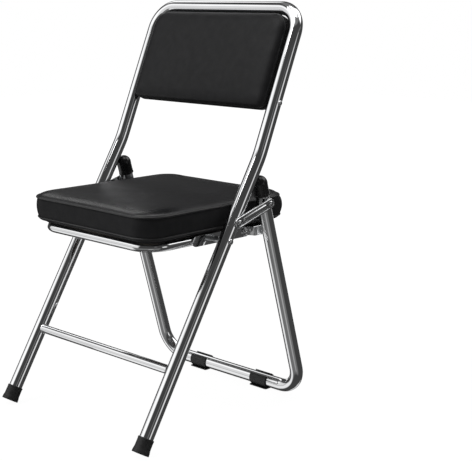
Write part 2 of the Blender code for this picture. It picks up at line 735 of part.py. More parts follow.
def strap_bolt(name, side, finish, hinge):
    """Bolt through the rail and the strap's turned-down end, with its nut inside."""
    inner = RAIL_INNER - GAP - STRAP_THICKNESS - GAP
    grip = RAIL_OUTER + GAP - inner
    profile = [(0, -STRAP_NUT), (SCREW_HEAD_R, -STRAP_NUT), (SCREW_HEAD_R, 0), (SCREW_R, 0),
               (SCREW_R, grip)] + domed_head(SCREW_HEAD_R, SCREW_HEAD, grip)
    place = across(strap_bolt_place(0), side * inner)
    add_object(name, turned(profile, PIN_SIDES), finish, place, axis_turn((side, 0, 0)), hinge)


def board_screw(name, x, offset, finish, hinge):
    """Screw from under a strap up into the seat board."""
    base = BOARD_Z - GAP - STRAP_THICKNESS - GAP
    tip = STRAP_THICKNESS + 2 * GAP + BOARD_SCREW_BITE
    profile = [(0, -SCREW_HEAD), (SCREW_HEAD_R - SCREW_CHAMFER, -SCREW_HEAD),
               (SCREW_HEAD_R, SCREW_CHAMFER - SCREW_HEAD), (SCREW_HEAD_R, 0), (SCREW_R, 0),
               (SCREW_R, tip), (0, tip)]
    place = (x, PIVOT_A.y + offset, base)
    add_object(name, turned(profile, PIN_SIDES), finish, place, None, hinge)


def board_screw_places():
    straps = (-FRONT_STRAP, REAR_STRAP)
    return [(side * BOARD_SCREW_X, offset) for offset in straps for side in (LEFT, RIGHT)]


CUSHION_MIDDLE_Y = (CUSHION_FRONT_Y + CUSHION_REAR_Y) / 2
CUSHION_HALF_DEPTH = (CUSHION_REAR_Y - CUSHION_FRONT_Y) / 2


def seat_board(finish, hinge):
    radius = CUSHION_CORNER - BOARD_INSET
    outline = rounded_rectangle(CUSHION_HALF_WIDTH - BOARD_INSET, CUSHION_HALF_DEPTH - BOARD_INSET,
                                (radius, radius))
    place = (0, CUSHION_MIDDLE_Y, BOARD_Z)
    board = add_object("seat_board", plate(outline, BOARD_THICKNESS), finish, place, None, hinge)
    depth = BOARD_SCREW_BITE + GAP
    middles = [Vector((x, PIVOT_A.y + offset, BOARD_Z)) for x, offset in board_screw_places()]
    holes = hole_cutter("board_screw_holes", middles, (0, 0, 1), SCREW_R + GAP, depth)
    combine(board, holes, "DIFFERENCE")


def seat_cushion(finish, hinge):
    """Foam and cover: bulging border between two welts, with a crowned top."""
    levels = spread(CUSHION_BORDER, 0, CUSHION_WALL)
    levels += spread(CUSHION_TOP, CUSHION_WALL, CUSHION_CROWN)
    rings = []
    for height, inset in levels:
        radius = max(CUSHION_CORNER - inset, CUSHION_LEAST_CORNER)
        outline = rounded_rectangle(CUSHION_HALF_WIDTH - inset, CUSHION_HALF_DEPTH - inset,
                                    (radius, radius), CUSHION_DRAW_IN)
        rings.append([(x, y, height) for x, y in outline])
    add_object("seat_cushion", loft(rings), finish, (0, CUSHION_MIDDLE_Y, CUSHION_Z), None, hinge)


# Rear leg frame, which turns about pivot B

REAR_CAP_BASE = LINK_PIVOT_UP_REAR + REAR_CAP_ABOVE_PIVOT
REAR_TUBE_TOP = REAR_CAP_BASE + REAR_CAP_SKIRT - 2 * GAP


def rear_frame(finish, hinge):
    corners = []
    for side in (LEFT, RIGHT):
        x = side * REAR_HALF_WIDTH
        corners.append([rear_point(REAR_TUBE_TOP, x), rear_point(0, x)])
    path = rounded_path(corners[0] + corners[1][::-1], [(REAR_CORNER_RADIUS, ARC_STEPS)] * 2)
    path = [point - hinge.location for point in path]
    tube = add_object("rear_frame_tube", sweep_tube(path, TUBE_R, TUBE_WALL, TUBE_SIDES), finish,
                      hinge.location, None, hinge)
    pins = [across(PIVOT_D, side * REAR_HALF_WIDTH) for side in (LEFT, RIGHT)]
    holes = cross_holes("rear_pin_holes", pins, SHANK_R + GAP, TUBE_R + TUBE_WALL)
    combine(tube, holes, "DIFFERENCE")


def rear_cap(name, side, finish, hinge):
    """Bullet-shaped plug over a rear tube's upper end."""
    profile = [(CAP_BORE, 0), (REAR_CAP_R - REAR_CAP_RIM, 0), (REAR_CAP_R, REAR_CAP_RIM)]
    profile += dome(REAR_CAP_R, REAR_CAP_R, REAR_CAP_SKIRT, ARC_STEPS)
    profile += [(0, REAR_CAP_SKIRT), (CAP_BORE, REAR_CAP_SKIRT)]
    place = rear_point(REAR_CAP_BASE, side * REAR_HALF_WIDTH)
    add_object(name, turned(profile, CAP_SIDES, closed=True), finish, place, axis_turn(REAR_DIR), hinge)


def rear_saddle(name, side, finish, hinge):
    """Open U clip under the rear bar, on a flat base."""
    bore = TUBE_R + GAP
    outer = bore + SADDLE_WALL
    height = REAR_BAR.z
    top = height + SADDLE_RISE
    outline = [(-outer, 0), (outer, 0), (outer, top), (bore, top)]
    outline += arc((0, height), bore, 0, -180, 2 * ARC_STEPS) + [(-bore, top), (-outer, top)]
    middle = side * (REAR_HALF_WIDTH - SADDLE_NEAR_CORNER)
    place = (middle - SADDLE_LENGTH / 2, REAR_BAR.y, 0)
    saddle = add_object(name, plate(outline, SADDLE_LENGTH), finish, place, side_turn(), hinge)
    chamfer(saddle, SADDLE_EDGE)
    half = SADDLE_LENGTH / 2 + SADDLE_FLANGE
    reach = outer - SADDLE_FLANGE_SET_IN
    flange = block((-half, -reach, 0), (half, reach, SADDLE_FLANGE_THICKNESS))
    combine(saddle, add_cutter(name + "_flange", flange, (middle, REAR_BAR.y, 0)), "UNION")


def rear_lug(name, side, finish, hinge):
    """Cranked strap from pivot B back to the rear tube's inner side."""
    tube = rear_point((PIVOT_B.z - REAR_BAR.z) / REAR_DIR.z)
    radius = LUG_HEIGHT / 2
    end = tube.y - PIVOT_B.y + LUG_TAIL
    outline = [(end, -radius), (end, radius)] + arc((0, 0), radius, 90, 270, ARC_STEPS)
    bm = plate(outline, LUG_THICKNESS, [(0, 0, SHANK_R + GAP)])
    for cut in (LUG_BEND_NEAR, LUG_BEND_FAR):
        everything = bm.verts[:] + bm.edges[:] + bm.faces[:]
        bmesh.ops.bisect_plane(bm, geom=everything, plane_co=(cut, 0, 0), plane_no=(1, 0, 0))
    crank = REAR_INNER - GAP - LUG_OUTER
    for vert in bm.verts:
        share = (vert.co.x - LUG_BEND_NEAR) / (LUG_BEND_FAR - LUG_BEND_NEAR)
        vert.co.z += crank * min(max(share, 0), 1)
    directions = Matrix((Vector((0, 1, 0)), Vector((0, 0, 1)), Vector((side, 0, 0))))
    bm.transform(directions.transposed().to_4x4())
    add_object(name, bm, finish, across(PIVOT_B, side * LUG_INNER), None, hinge)


def seat_rear_bolt(name, side, finish, hinge):
    """Pivot bolt through the lug, the bracket and the rail, with its nut inside."""
    inner = RAIL_INNER - GAP
    grip = LUG_OUTER + GAP - inner
    profile = [(0, -PIVOT_NUT), (PIVOT_NUT_R, -PIVOT_NUT), (PIVOT_NUT_R, 0), (SHANK_R, 0),
               (SHANK_R, grip)] + domed_head(HEAD_R, HEAD_RISE, grip)
    add_object(name, turned(profile, PIN_SIDES), finish, across(PIVOT_B, side * inner),
               axis_turn((side, 0, 0)), hinge)


def link_rear_rivet(name, side, finish, hinge):
    """Rivet's inner part: closed tail and the shank that ends under the stay link."""
    inner = REAR_INNER - GAP
    grip = LINK_INNER - GAP - inner
    profile = rivet_tail() + [(SHANK_R, grip), (0, grip)]
    add_object(name, turned(profile, PIN_SIDES), finish, across(PIVOT_D, side * inner),
               axis_turn((side, 0, 0)), hinge)


# Stay links, which turn about pivot C

def stay_link(name, side, finish, hinge):
    """Pressed strip with round ends and a rib between its two eyes."""
    span = PIVOT_D - PIVOT_C
    clear = SHANK_R + TURN_CLEARANCE
    bm = plate(stadium(LINK_LENGTH, LINK_WIDTH / 2), LINK_THICKNESS,
               [(0, 0, clear), (LINK_LENGTH, 0, clear)])
    turn = side_turn(math.atan2(span.z, span.y))
    x = LINK_INNER if side == LEFT else -LINK_OUTER
    strip = add_object(name, bm, finish, across(PIVOT_C, x), turn, hinge)
    chamfer(strip, LINK_EDGE)
    length = LINK_LENGTH - 2 * RIB_FROM_PIVOT
    base = LINK_THICKNESS / 2
    rise = base + RIB_RISE
    rings = []
    for share, size in RIB_PROFILE:
        outline = stadium(length, RIB_R * size)
        z = base + side * share * rise
        rings.append([(px + RIB_FROM_PIVOT, py, z) for px, py in outline])
    combine(strip, add_cutter(name + "_rib", loft(rings), across(PIVOT_C, x), turn), "UNION")


def link_rivet_head(name, side, finish, hinge):
    """Rivet's outer part: domed head and the shank inside the stay link's eye."""
    grip = LINK_THICKNESS + GAP
    profile = [(0, 0), (SHANK_R, 0), (SHANK_R, grip)] + domed_head(HEAD_R, HEAD_RISE, grip)
    add_object(name, turned(profile, PIN_SIDES), finish, across(PIVOT_D, side * LINK_INNER),
               axis_turn((side, 0, 0)), hinge)


def main():
    clear_scene()
    chrome = make_material("chrome", (0.80, 0.81, 0.82), 1.0, 0.08)
    zinc = make_material("zinc", (0.62, 0.63, 0.65), 1.0, 0.25)
    cover = make_material("black_cover", (0.022, 0.022, 0.023), 0.0, 0.42)
    rubber = make_material("black_rubber", (0.015, 0.015, 0.016), 0.0, 0.65)
    plastic = make_material("black_plastic", (0.012, 0.012, 0.013), 0.0, 0.28)
    plywood = make_material("plywood", (0.060, 0.050, 0.042), 0.0, 0.70)

    seat_hinge = make_hinge("seat_hinge", PIVOT_A)
    rear_hinge = make_hinge("rear_hinge", PIVOT_B)

    main_frame(chrome)
    front_crossbar(chrome)
    back_pad(cover)
    back_board(plywood)
    back_cover(cover)
    seat_frame(chrome, seat_hinge)
    seat_board(plywood, seat_hinge)
    seat_cushion(cover, seat_hinge)
    seat_strap("seat_front_strap", -FRONT_STRAP, zinc, seat_hinge, False)
    seat_strap("seat_rear_strap", REAR_STRAP, zinc, seat_hinge, True)
    rear_frame(chrome, rear_hinge)
    for number, (x, offset) in enumerate(board_screw_places(), 1):
        board_screw(f"board_screw_{number}", x, offset, zinc, seat_hinge)

    for name, side in SIDES:
        link_hinge = make_hinge(f"link_hinge_{name}", across(PIVOT_C, side * HALF_WIDTH))
        foot_cap(f"foot_cap_{name}", side, rubber)
        pad_bolt(f"back_pad_bolt_{name}", side, zinc)
        leg_rivet(f"seat_pivot_rivet_{name}", side, PIVOT_A, LEG_OUTER, RAIL_INNER, chrome)
        pivot_ring(f"seat_pivot_spacer_{name}", side, PIVOT_A, BRACKET_OUTER + GAP, PIVOT_SPACER,
                   SPACER_R, zinc)
        leg_rivet(f"link_front_rivet_{name}", side, PIVOT_C, LINK_OUTER, LEG_INNER, chrome)
        pivot_ring(f"link_front_washer_{name}", side, PIVOT_C, LEG_OUTER + GAP, LEG_WASHER, WASHER_R, zinc)
        seat_bracket(f"seat_bracket_{name}", side, chrome, seat_hinge)
        strap_bolt(f"strap_bolt_{name}", side, zinc, seat_hinge)
        rear_cap(f"rear_tube_cap_{name}", side, plastic, rear_hinge)
        rear_saddle(f"rear_saddle_{name}", side, rubber, rear_hinge)
        rear_lug(f"rear_lug_{name}", side, chrome, rear_hinge)
        seat_rear_bolt(f"seat_rear_bolt_{name}", side, zinc, rear_hinge)
        link_rear_rivet(f"link_rear_rivet_{name}", side, chrome, rear_hinge)
        pivot_ring(f"link_rear_washer_{name}", side, PIVOT_D, REAR_OUTER + GAP,
                   LINK_INNER - REAR_OUTER - 2 * GAP, WASHER_R, zinc, rear_hinge)
        stay_link(f"stay_link_{name}", side, chrome, link_hinge)
        link_rivet_head(f"link_rivet_head_{name}", side, chrome, link_hinge)


main()
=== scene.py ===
"""Looks of a padded folding chair: chromed tube frames, black padded seat and back.

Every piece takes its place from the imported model's joints and boxes, and has that
model's sizes with finer surfaces. Lengths are in metres: +Z up, +Y to the rear of
the chair, +X to the sitter's left.
"""

import json
import math

import bmesh
import bpy
from mathutils import Matrix, Vector, noise


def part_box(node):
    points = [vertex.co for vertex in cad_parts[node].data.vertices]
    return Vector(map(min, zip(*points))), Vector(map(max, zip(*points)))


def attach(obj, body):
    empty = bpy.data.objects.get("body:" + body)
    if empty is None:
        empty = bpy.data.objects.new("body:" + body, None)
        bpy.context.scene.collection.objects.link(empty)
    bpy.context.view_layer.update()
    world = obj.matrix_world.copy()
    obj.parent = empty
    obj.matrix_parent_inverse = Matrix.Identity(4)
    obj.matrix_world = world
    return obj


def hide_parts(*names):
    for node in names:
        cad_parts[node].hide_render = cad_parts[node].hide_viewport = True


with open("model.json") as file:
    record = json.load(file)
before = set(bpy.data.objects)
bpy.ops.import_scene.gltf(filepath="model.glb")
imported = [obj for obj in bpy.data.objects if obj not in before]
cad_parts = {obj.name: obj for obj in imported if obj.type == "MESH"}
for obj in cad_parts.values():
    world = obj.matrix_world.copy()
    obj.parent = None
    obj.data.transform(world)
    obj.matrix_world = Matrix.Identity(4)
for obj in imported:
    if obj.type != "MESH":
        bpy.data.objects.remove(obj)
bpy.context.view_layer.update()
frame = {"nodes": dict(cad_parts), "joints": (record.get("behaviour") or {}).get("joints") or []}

# Tubes
GAP = 0.0003
TUBE_R = 0.0133
TUBE_WALL = 0.0012
RAIL_R = 0.0088
CROSSBAR_R = 0.0086
THIN_WALL = 0.001
TUBE_STEP = 0.03             # longest straight piece of a tube's mesh

# Main frame
HALF_WIDTH = 0.200
BACK_LEAN = math.radians(23.3)
LEG_LENGTH = 0.600
BACK_LENGTH = 0.2967
KNEE_RADIUS = 0.20
TOP_CORNER_RADIUS = 0.050
CROSSBAR_UP_LEG = 0.1666
SEAT_PIVOT_UP_LEG = 0.4255
WELD = 0.0034                # fillet's reach along the crossbar and round the leg

# Rear frame
REAR_HALF_WIDTH = 0.1983
REAR_CORNER_RADIUS = 0.055
REAR_BAR_HEIGHT = 0.0156

# Rubber and plastic
CAP_BORE = TUBE_R + GAP
FOOT_NECK_R = 0.0150
FOOT_R = 0.0165
FOOT_LENGTH = 0.030
FOOT_FLOOR = 0.005           # rubber under the tube's end
FOOT_SOLE_DROP = 0.0012      # worn flat where the sole's rear edge meets the floor
REAR_CAP_R = 0.0155
REAR_CAP_ABOVE_PIVOT = 0.0150
REAR_CAP_SKIRT = 0.0245
SADDLE_WALL = 0.0020
SADDLE_TOP = 0.0276          # front lip
SADDLE_REAR_TOP = 0.0304     # rear lip, higher than the bar
SADDLE_LENGTH = 0.0456
SADDLE_FLANGE = 0.0011
SADDLE_FLANGE_THICKNESS = 0.0018
SADDLE_FLANGE_TUCK = 0.0016  # flange's long sides inside the clip's
SADDLE_FLANGE_CORNER = 0.003

# Seat
CUSHION_WALL = 0.0457        # bottom to the upper welt
CUSHION_CORNER = 0.050
CUSHION_DRAW_IN = 0.0025     # sides curved in between the corners
RAIL_CORNER_RADIUS = 0.045
BRACKET_HEIGHT = 0.020

# Pivot hardware
SHANK_R = 0.003
PIVOT_CLEAR = 0.0004         # eye round a shank
HEAD_R = 0.0058
HEAD_RISE = 0.0032
HEAD_RIM = 0.0006
TAIL_R = 0.0048
TAIL_RISE = 0.0022
NUT_R = 0.0052
NUT_HEIGHT = 0.0045
SPACER_R = 0.0065
WASHER_R = 0.0075
BOLT_R = 0.0025              # bolts that hold the back
BOLT_HEAD_R = 0.0048
BOLT_HEAD_RISE = 0.0026
LUG_HEIGHT = 0.017
LUG_THICKNESS = 0.0025
LUG_CORNER = 0.003
LUG_BEND_NEAR = 0.008        # crank of the lug, behind pivot B
LUG_BEND_FAR = 0.012
LINK_WIDTH = 0.020
LINK_THICKNESS = 0.002
LINK_RIM_R = 0.0017
RIB_R = 0.0044
RIB_RISE = 0.0022
RIB_FROM_PIVOT = 0.015

# Back
PAD_SIDE_GAP = 0.0015
PAD_BOTTOM = 0.0905
PAD_BOTTOM_CORNER = 0.016
BOARD_HALF = 0.0045          # back board's half thickness

LEFT, RIGHT = 1, -1
SIDES = (("left", LEFT), ("right", RIGHT))
SHARP_EDGE = math.radians(38)
FINE_BEVEL = 0.0006
CLIP_BEVEL = 0.0007
STRIP_BEVEL = 0.0009

JOINT = {joint["name"]: Vector(joint["pos_m"]) for joint in frame["joints"]}


def centre(node):
    low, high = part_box(node)
    return (low + high) / 2


def across(point, x):
    return Vector((x, point.y, point.z))


PIVOT_A = across(JOINT["seat_fold"], 0)
PIVOT_B = across(JOINT["rear_fold"], 0)
PIVOT_C = across(JOINT["link_left_fold"], 0)
PIVOT_D = across(centre("link_rivet_head_left"), 0)
REAR_BAR = Vector((0, centre("rear_saddle_left").y, REAR_BAR_HEIGHT))

LEG_DIR = (PIVOT_C - PIVOT_A).normalized()
LEG_SIDE = Vector((0, LEG_DIR.z, -LEG_DIR.y))
BACK_DIR = Vector((0, math.sin(BACK_LEAN), math.cos(BACK_LEAN)))
BACK_AHEAD = Vector((0, -math.cos(BACK_LEAN), math.sin(BACK_LEAN)))
REAR_DIR = (PIVOT_D - REAR_BAR).normalized()


def leg_point(up, x=0.0):
    """Point on a leg's centre line, `up` metres from the floor along it."""
    return across(PIVOT_A + (up - SEAT_PIVOT_UP_LEG) * LEG_DIR, x)


def back_point(up, ahead=0.0, x=0.0):
    """Point on the back, `up` metres from the knee, `ahead` of the tubes' plane."""
    return leg_point(LEG_LENGTH, x) + up * BACK_DIR + ahead * BACK_AHEAD


def rear_point(up, x=0.0):
    return across(REAR_BAR + up * REAR_DIR, x)


def add_object(name, data):
    item = bpy.data.objects.new(name, data)
    bpy.context.scene.collection.objects.link(item)
    return item


# Camera

CAMERA_PLACE = (1.6696, -1.4805, 0.8132)
CAMERA_AZIMUTH = math.radians(44.2793)
CAMERA_ELEVATION = math.radians(11.6616)
CAMERA_LENS = 87.69


def add_camera():
    back = Vector((math.sin(CAMERA_AZIMUTH) * math.cos(CAMERA_ELEVATION),
                   -math.cos(CAMERA_AZIMUTH) * math.cos(CAMERA_ELEVATION),
                   math.sin(CAMERA_ELEVATION)))
    right = Vector((math.cos(CAMERA_AZIMUTH), math.sin(CAMERA_AZIMUTH), 0))
    data = bpy.data.cameras.new("camera")
    data.sensor_fit = "HORIZONTAL"
    data.sensor_width = 36
    data.lens = CAMERA_LENS
    data.clip_start = 0.05
    camera = add_object("camera", data)
    turn = Matrix((right, back.cross(right), back)).transposed()
    camera.matrix_world = Matrix.Translation(CAMERA_PLACE) @ turn.to_4x4()
    bpy.context.scene.camera = camera


# Materials

def make_material(name, colour, metallic, roughness):
    material = bpy.data.materials.new(name)
    material.use_nodes = True
    shader = material.node_tree.nodes["Principled BSDF"]
    shader.inputs["Base Color"].default_value = (*colour, 1)
    shader.inputs["Metallic"].default_value = metallic
    shader.inputs["Roughness"].default_value = roughness
    return material, material.node_tree, shader


def add_noise(tree, scale, detail=3.0, stretch=(1, 1, 1)):
    """Noise in the object's own space, where a scale of 1 is one cell a metre."""
    place = tree.nodes.new("ShaderNodeTexCoord")
    size = tree.nodes.new("ShaderNodeMapping")
    size.inputs["Scale"].default_value = stretch
    cells = tree.nodes.new("ShaderNodeTexNoise")
    cells.inputs["Scale"].default_value = scale
    cells.inputs["Detail"].default_value = detail
    tree.links.new(place.outputs["Object"], size.inputs["Vector"])
    tree.links.new(size.outputs["Vector"], cells.inputs["Vector"])
    return cells.outputs["Fac"]


def spread_value(tree, value, low, high, start=0.3, end=0.7, kind="LINEAR"):
    """Value mapped from `start`..`end` to `low`..`high`."""
    ramp = tree.nodes.new("ShaderNodeMapRange")
    ramp.interpolation_type = kind
    for name, number in (("From Min", start), ("From Max", end), ("To Min", low), ("To Max", high)):
        ramp.inputs[name].default_value = number
    tree.links.new(value, ramp.inputs["Value"])
    return ramp.outputs["Result"]


def math_node(tree, operation, *values):
    node = tree.nodes.new("ShaderNodeMath")
    node.operation = operation
    for socket, value in zip(node.inputs, values):
        if isinstance(value, (int, float)):
            socket.default_value = value
        else:
            tree.links.new(value, socket)
    return node.outputs["Value"]


def vector_node(tree, operation, value, other=(0, 0, 0)):
    node = tree.nodes.new("ShaderNodeVectorMath")
    node.operation = operation
    node.inputs[1].default_value = other
    tree.links.new(value, node.inputs[0])
    return node.outputs["Value" if operation in ("LENGTH", "DOT_PRODUCT") else "Vector"]


def eased(tree, value, start, end, level=1.0):
    """Smooth step of a value from 0 at `start` to the level at `end`."""
    return spread_value(tree, value, 0, level, start, end, "SMOOTHSTEP")


def vary_colour(tree, shader, value, dark, light, start=0.3, end=0.7):
    mix = tree.nodes.new("ShaderNodeMix")
    mix.data_type = "RGBA"
    mix.inputs["A"].default_value = (*dark, 1)
    mix.inputs["B"].default_value = (*light, 1)
    tree.links.new(spread_value(tree, value, 0, 1, start, end), mix.inputs["Factor"])
    tree.links.new(mix.outputs["Result"], shader.inputs["Base Color"])


def add_bump(tree, shader, value, distance, strength=1.0, under=None):
    bump = tree.nodes.new("ShaderNodeBump")
    bump.inputs["Distance"].default_value = distance
    bump.inputs["Strength"].default_value = strength
    tree.links.new(value, bump.inputs["Height"])
    if under:
        tree.links.new(under, bump.inputs["Normal"])
    tree.links.new(bump.outputs["Normal"], shader.inputs["Normal"])
    return bump.outputs["Normal"]


def chrome(name, smooth, rough, wave):
    """Bright plating: faint handling haze and the slight waviness of drawn tube."""
    material, tree, shader = make_material(name, (0.83, 0.835, 0.84), 1.0, smooth)
    haze = add_noise(tree, 38, 4)
    tree.links.new(spread_value(tree, haze, smooth, rough), shader.inputs["Roughness"])
    vary_colour(tree, shader, add_noise(tree, 15, 2),
                (0.80, 0.805, 0.815), (0.86, 0.865, 0.87))
    add_bump(tree, shader, add_noise(tree, 55, 2), wave)
    return material


def zinc(name):
    material, tree, shader = make_material(name, (0.60, 0.61, 0.62), 1.0, 0.3)
    grains = add_noise(tree, 420, 4)
    tree.links.new(spread_value(tree, grains, 0.24, 0.42), shader.inputs["Roughness"])
    vary_colour(tree, shader, add_noise(tree, 120, 3),
                (0.52, 0.53, 0.54), (0.66, 0.67, 0.67))
    add_bump(tree, shader, grains, 0.00004)
    return material


def vinyl(name, dark, light, smooth, rough, gloss):
    """Black leathercloth: fine pebble grain, faint stretch marks and handling sheen."""
    material, tree, shader = make_material(name, dark, 0.0, rough)
    place = tree.nodes.new("ShaderNodeTexCoord")
    pebbles = tree.nodes.new("ShaderNodeTexVoronoi")
    pebbles.feature = "DISTANCE_TO_EDGE"
    pebbles.inputs["Scale"].default_value = 780
    pebbles.inputs["Randomness"].default_value = 0.9
    tree.links.new(place.outputs["Object"], pebbles.inputs["Vector"])
    creases = spread_value(tree, pebbles.outputs["Distance"], 0, 1, 0.0, 0.22)
    sheen = add_noise(tree, 24, 5)
    tree.links.new(spread_value(tree, sheen, smooth, rough), shader.inputs["Roughness"])
    vary_colour(tree, shader, add_noise(tree, 60, 6), dark, light, 0.25, 0.75)
    soft = add_bump(tree, shader, add_noise(tree, 130, 3), 0.00025, 0.35)
    add_bump(tree, shader, creases, 0.00006, 0.5, soft)
    shader.inputs["Specular IOR Level"].default_value = gloss
    return material


RUBBED_FROM = (0.0026, 0.0054)       # heights above the upper welt where the rubbed skin comes in
RUBBED_TO = (0.0082, 0.0116)         # and goes out again
RUBBED_BACK = (0.050, 0.115)         # distances from the cushion's front where it goes out
RUBBED_SMOOTHER = 0.23               # how much less rough it is


def polish_shoulder(material, welt, front):
    """Skin rubbed smoother by use on the cushion's front shoulder, between the welt and the flat top."""
    tree = material.node_tree
    shader = tree.nodes["Principled BSDF"]
    place = tree.nodes.new("ShaderNodeTexCoord")
    parts = tree.nodes.new("ShaderNodeSeparateXYZ")
    tree.links.new(place.outputs["Object"], parts.inputs["Vector"])
    height = parts.outputs["Z"]
    above = eased(tree, height, welt + RUBBED_FROM[0], welt + RUBBED_FROM[1])
    below = eased(tree, height, welt + RUBBED_TO[1], welt + RUBBED_TO[0])
    ahead = eased(tree, parts.outputs["Y"], front + RUBBED_BACK[1], front + RUBBED_BACK[0])
    rubbed = math_node(tree, "MULTIPLY", math_node(tree, "MULTIPLY", above, below), ahead)
    rough = shader.inputs["Roughness"].links[0].from_socket
    smoother = math_node(tree, "MULTIPLY_ADD", rubbed, -RUBBED_SMOOTHER, rough)
    tree.links.new(smoother, shader.inputs["Roughness"])


def moulded(name, dark, light, smooth, rough, grain):
    """Moulded black rubber or plastic with a fine spark-eroded skin."""
    material, tree, shader = make_material(name, dark, 0.0, rough)
    skin = add_noise(tree, 900, 3)
    tree.links.new(spread_value(tree, add_noise(tree, 150, 4), smooth, rough), shader.inputs["Roughness"])
    vary_colour(tree, shader, add_noise(tree, 90, 5), dark, light)
    add_bump(tree, shader, skin, grain, 0.6)
    return material


def plywood(name):
    material, tree, shader = make_material(name, (0.060, 0.050, 0.042), 0.0, 0.7)
    veins = add_noise(tree, 22, 7, (1, 14, 1))
    tree.links.new(spread_value(tree, veins, 0.6, 0.8), shader.inputs["Roughness"])
    vary_colour(tree, shader, veins, (0.045, 0.037, 0.031), (0.078, 0.066, 0.056))
    add_bump(tree, shader, veins, 0.0002, 0.5)
    return material


CHROME_TUBE = chrome("chrome_tube", 0.035, 0.085, 0.00003)
CHROME_STRIP = chrome("chrome_strip", 0.04, 0.09, 0.00004)
RIVET = chrome("rivet_steel", 0.10, 0.22, 0.00005)
ZINC = zinc("zinc_plate")
SEAT_VINYL = vinyl("seat_vinyl", (0.007, 0.007, 0.008), (0.010, 0.010, 0.011), 0.44, 0.52, 0.50)
BORDER_VINYL = vinyl("border_vinyl", (0.017, 0.017, 0.018), (0.023, 0.023, 0.024), 0.44, 0.52, 0.07)
BACK_VINYL = vinyl("back_vinyl", (0.014, 0.014, 0.015), (0.020, 0.020, 0.021), 0.36, 0.44, 0.13)
# Piping's vinyl is coloured lighter than the cover's: a painted highlight along the welt lines, on top of
# the welt's real gloss.
WELT_VINYL_PAINTED_HIGHLIGHT = vinyl("welt_vinyl_painted_highlight", (0.020, 0.020, 0.021), (0.028, 0.028, 0.029), 0.32, 0.40, 0.45)
RUBBER = moulded("foot_rubber", (0.012, 0.012, 0.012), (0.020, 0.020, 0.020), 0.50, 0.66, 0.00006)
SADDLE = moulded("saddle_plastic", (0.016, 0.016, 0.017), (0.026, 0.026, 0.027), 0.46, 0.60, 0.00005)
CAP = moulded("cap_plastic", (0.009, 0.009, 0.010), (0.014, 0.014, 0.015), 0.20, 0.30, 0.00002)
PLYWOOD = plywood("plywood")


# Mesh helpers

def add_piece(name, bm, finish, body, nodes, bevel=0.0):
    """Object from a bmesh that is already in place, riding on its body for its CAD nodes."""
    bmesh.ops.recalc_face_normals(bm, faces=bm.faces)
    if bm.calc_volume(signed=True) < 0:
        bmesh.ops.reverse_faces(bm, faces=bm.faces)
    mesh = bpy.data.meshes.new(name)
    bm.to_mesh(mesh)
    bm.free()
    mesh.shade_smooth()
    mesh.set_sharp_from_angle(angle=SHARP_EDGE)
    mesh.materials.append(finish)
    piece = add_object(name, mesh)
    if bevel:
        edge = piece.modifiers.new("edge", "BEVEL")
        edge.width = bevel
        edge.segments = 3
        edge.limit_method = "ANGLE"
        edge.angle_limit = SHARP_EDGE
        edge.harden_normals = True
    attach(piece, body)
    if nodes:
        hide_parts(*nodes)
    return piece


def rounded_path(corners, bends):
    """Points along straight runs whose corners are rounded; bends are (radius, steps)."""
    path = [corners[0]]
    for index in range(1, len(corners) - 1):
        corner = corners[index]
        back = (corners[index - 1] - corner).normalized()
        ahead = (corners[index + 1] - corner).normalized()
        half = back.angle(ahead) / 2
        radius, steps = bends[index - 1]
        middle = corner + (back + ahead).normalized() * radius / math.sin(half)
        start = corner + back * radius / math.tan(half) - middle
        sweep = math.pi - 2 * half
        axis = back.cross(ahead)
        for step in range(steps + 1):
            path.append(middle + Matrix.Rotation(-sweep * step / steps, 3, axis) @ start)
    path.append(corners[-1])
    return divided(path)


def divided(path):
    """The same path with no step longer than a tube's."""
    points = [path[0]]
    for first, second in zip(path, path[1:]):
        count = max(1, math.ceil((second - first).length / TUBE_STEP))
        points += [first.lerp(second, k / count) for k in range(1, count + 1)]
    return points


def turns(sides):
    """Angles once round, evenly."""
    return [2 * math.pi * k / sides for k in range(sides)]


def join_rings(bm, first, second):
    count = len(first)
    for k in range(count):
        after = (k + 1) % count
        bm.faces.new((first[k], first[after], second[after], second[k]))


def sweep_tube(path, radius, sides, wall=0.0, closed=False):
    """Tube along a path: hollow with a wall, capped without one, or a closed loop."""
    bm = bmesh.new()
    count = len(path)
    tangents = []
    for index, point in enumerate(path):
        if closed:
            before, after = path[index - 1], path[(index + 1) % count]
        else:
            before, after = path[max(index - 1, 0)], path[min(index + 1, count - 1)]
        one, two = point - before, after - point
        tangents.append((one.normalized() + two.normalized()).normalized())
    normal = tangents[0].orthogonal().normalized()
    sizes = (radius, radius - wall) if wall else (radius,)
    skins = [[] for _ in sizes]
    for index, point in enumerate(path):
        if index:
            normal = tangents[index - 1].rotation_difference(tangents[index]) @ normal
        other = tangents[index].cross(normal)
        for skin, size in zip(skins, sizes):
            ring = []
            for angle in turns(sides):
                offset = normal * math.cos(angle) + other * math.sin(angle)
                ring.append(bm.verts.new(point + size * offset))
            skin.append(ring)
    for skin in skins:
        for first, second in zip(skin, skin[1:]):
            join_rings(bm, first, second)
    if closed:
        first, last = skins[0][0], skins[0][-1]
        shift = min(range(sides), key=lambda k: (first[k].co - last[0].co).length)
        join_rings(bm, last, first[shift:] + first[:shift])
    elif wall:
        for end in (0, -1):
            join_rings(bm, skins[0][end], skins[1][end])
    else:
        for end in (0, -1):
            bm.faces.new(skins[0][end])
    return bm


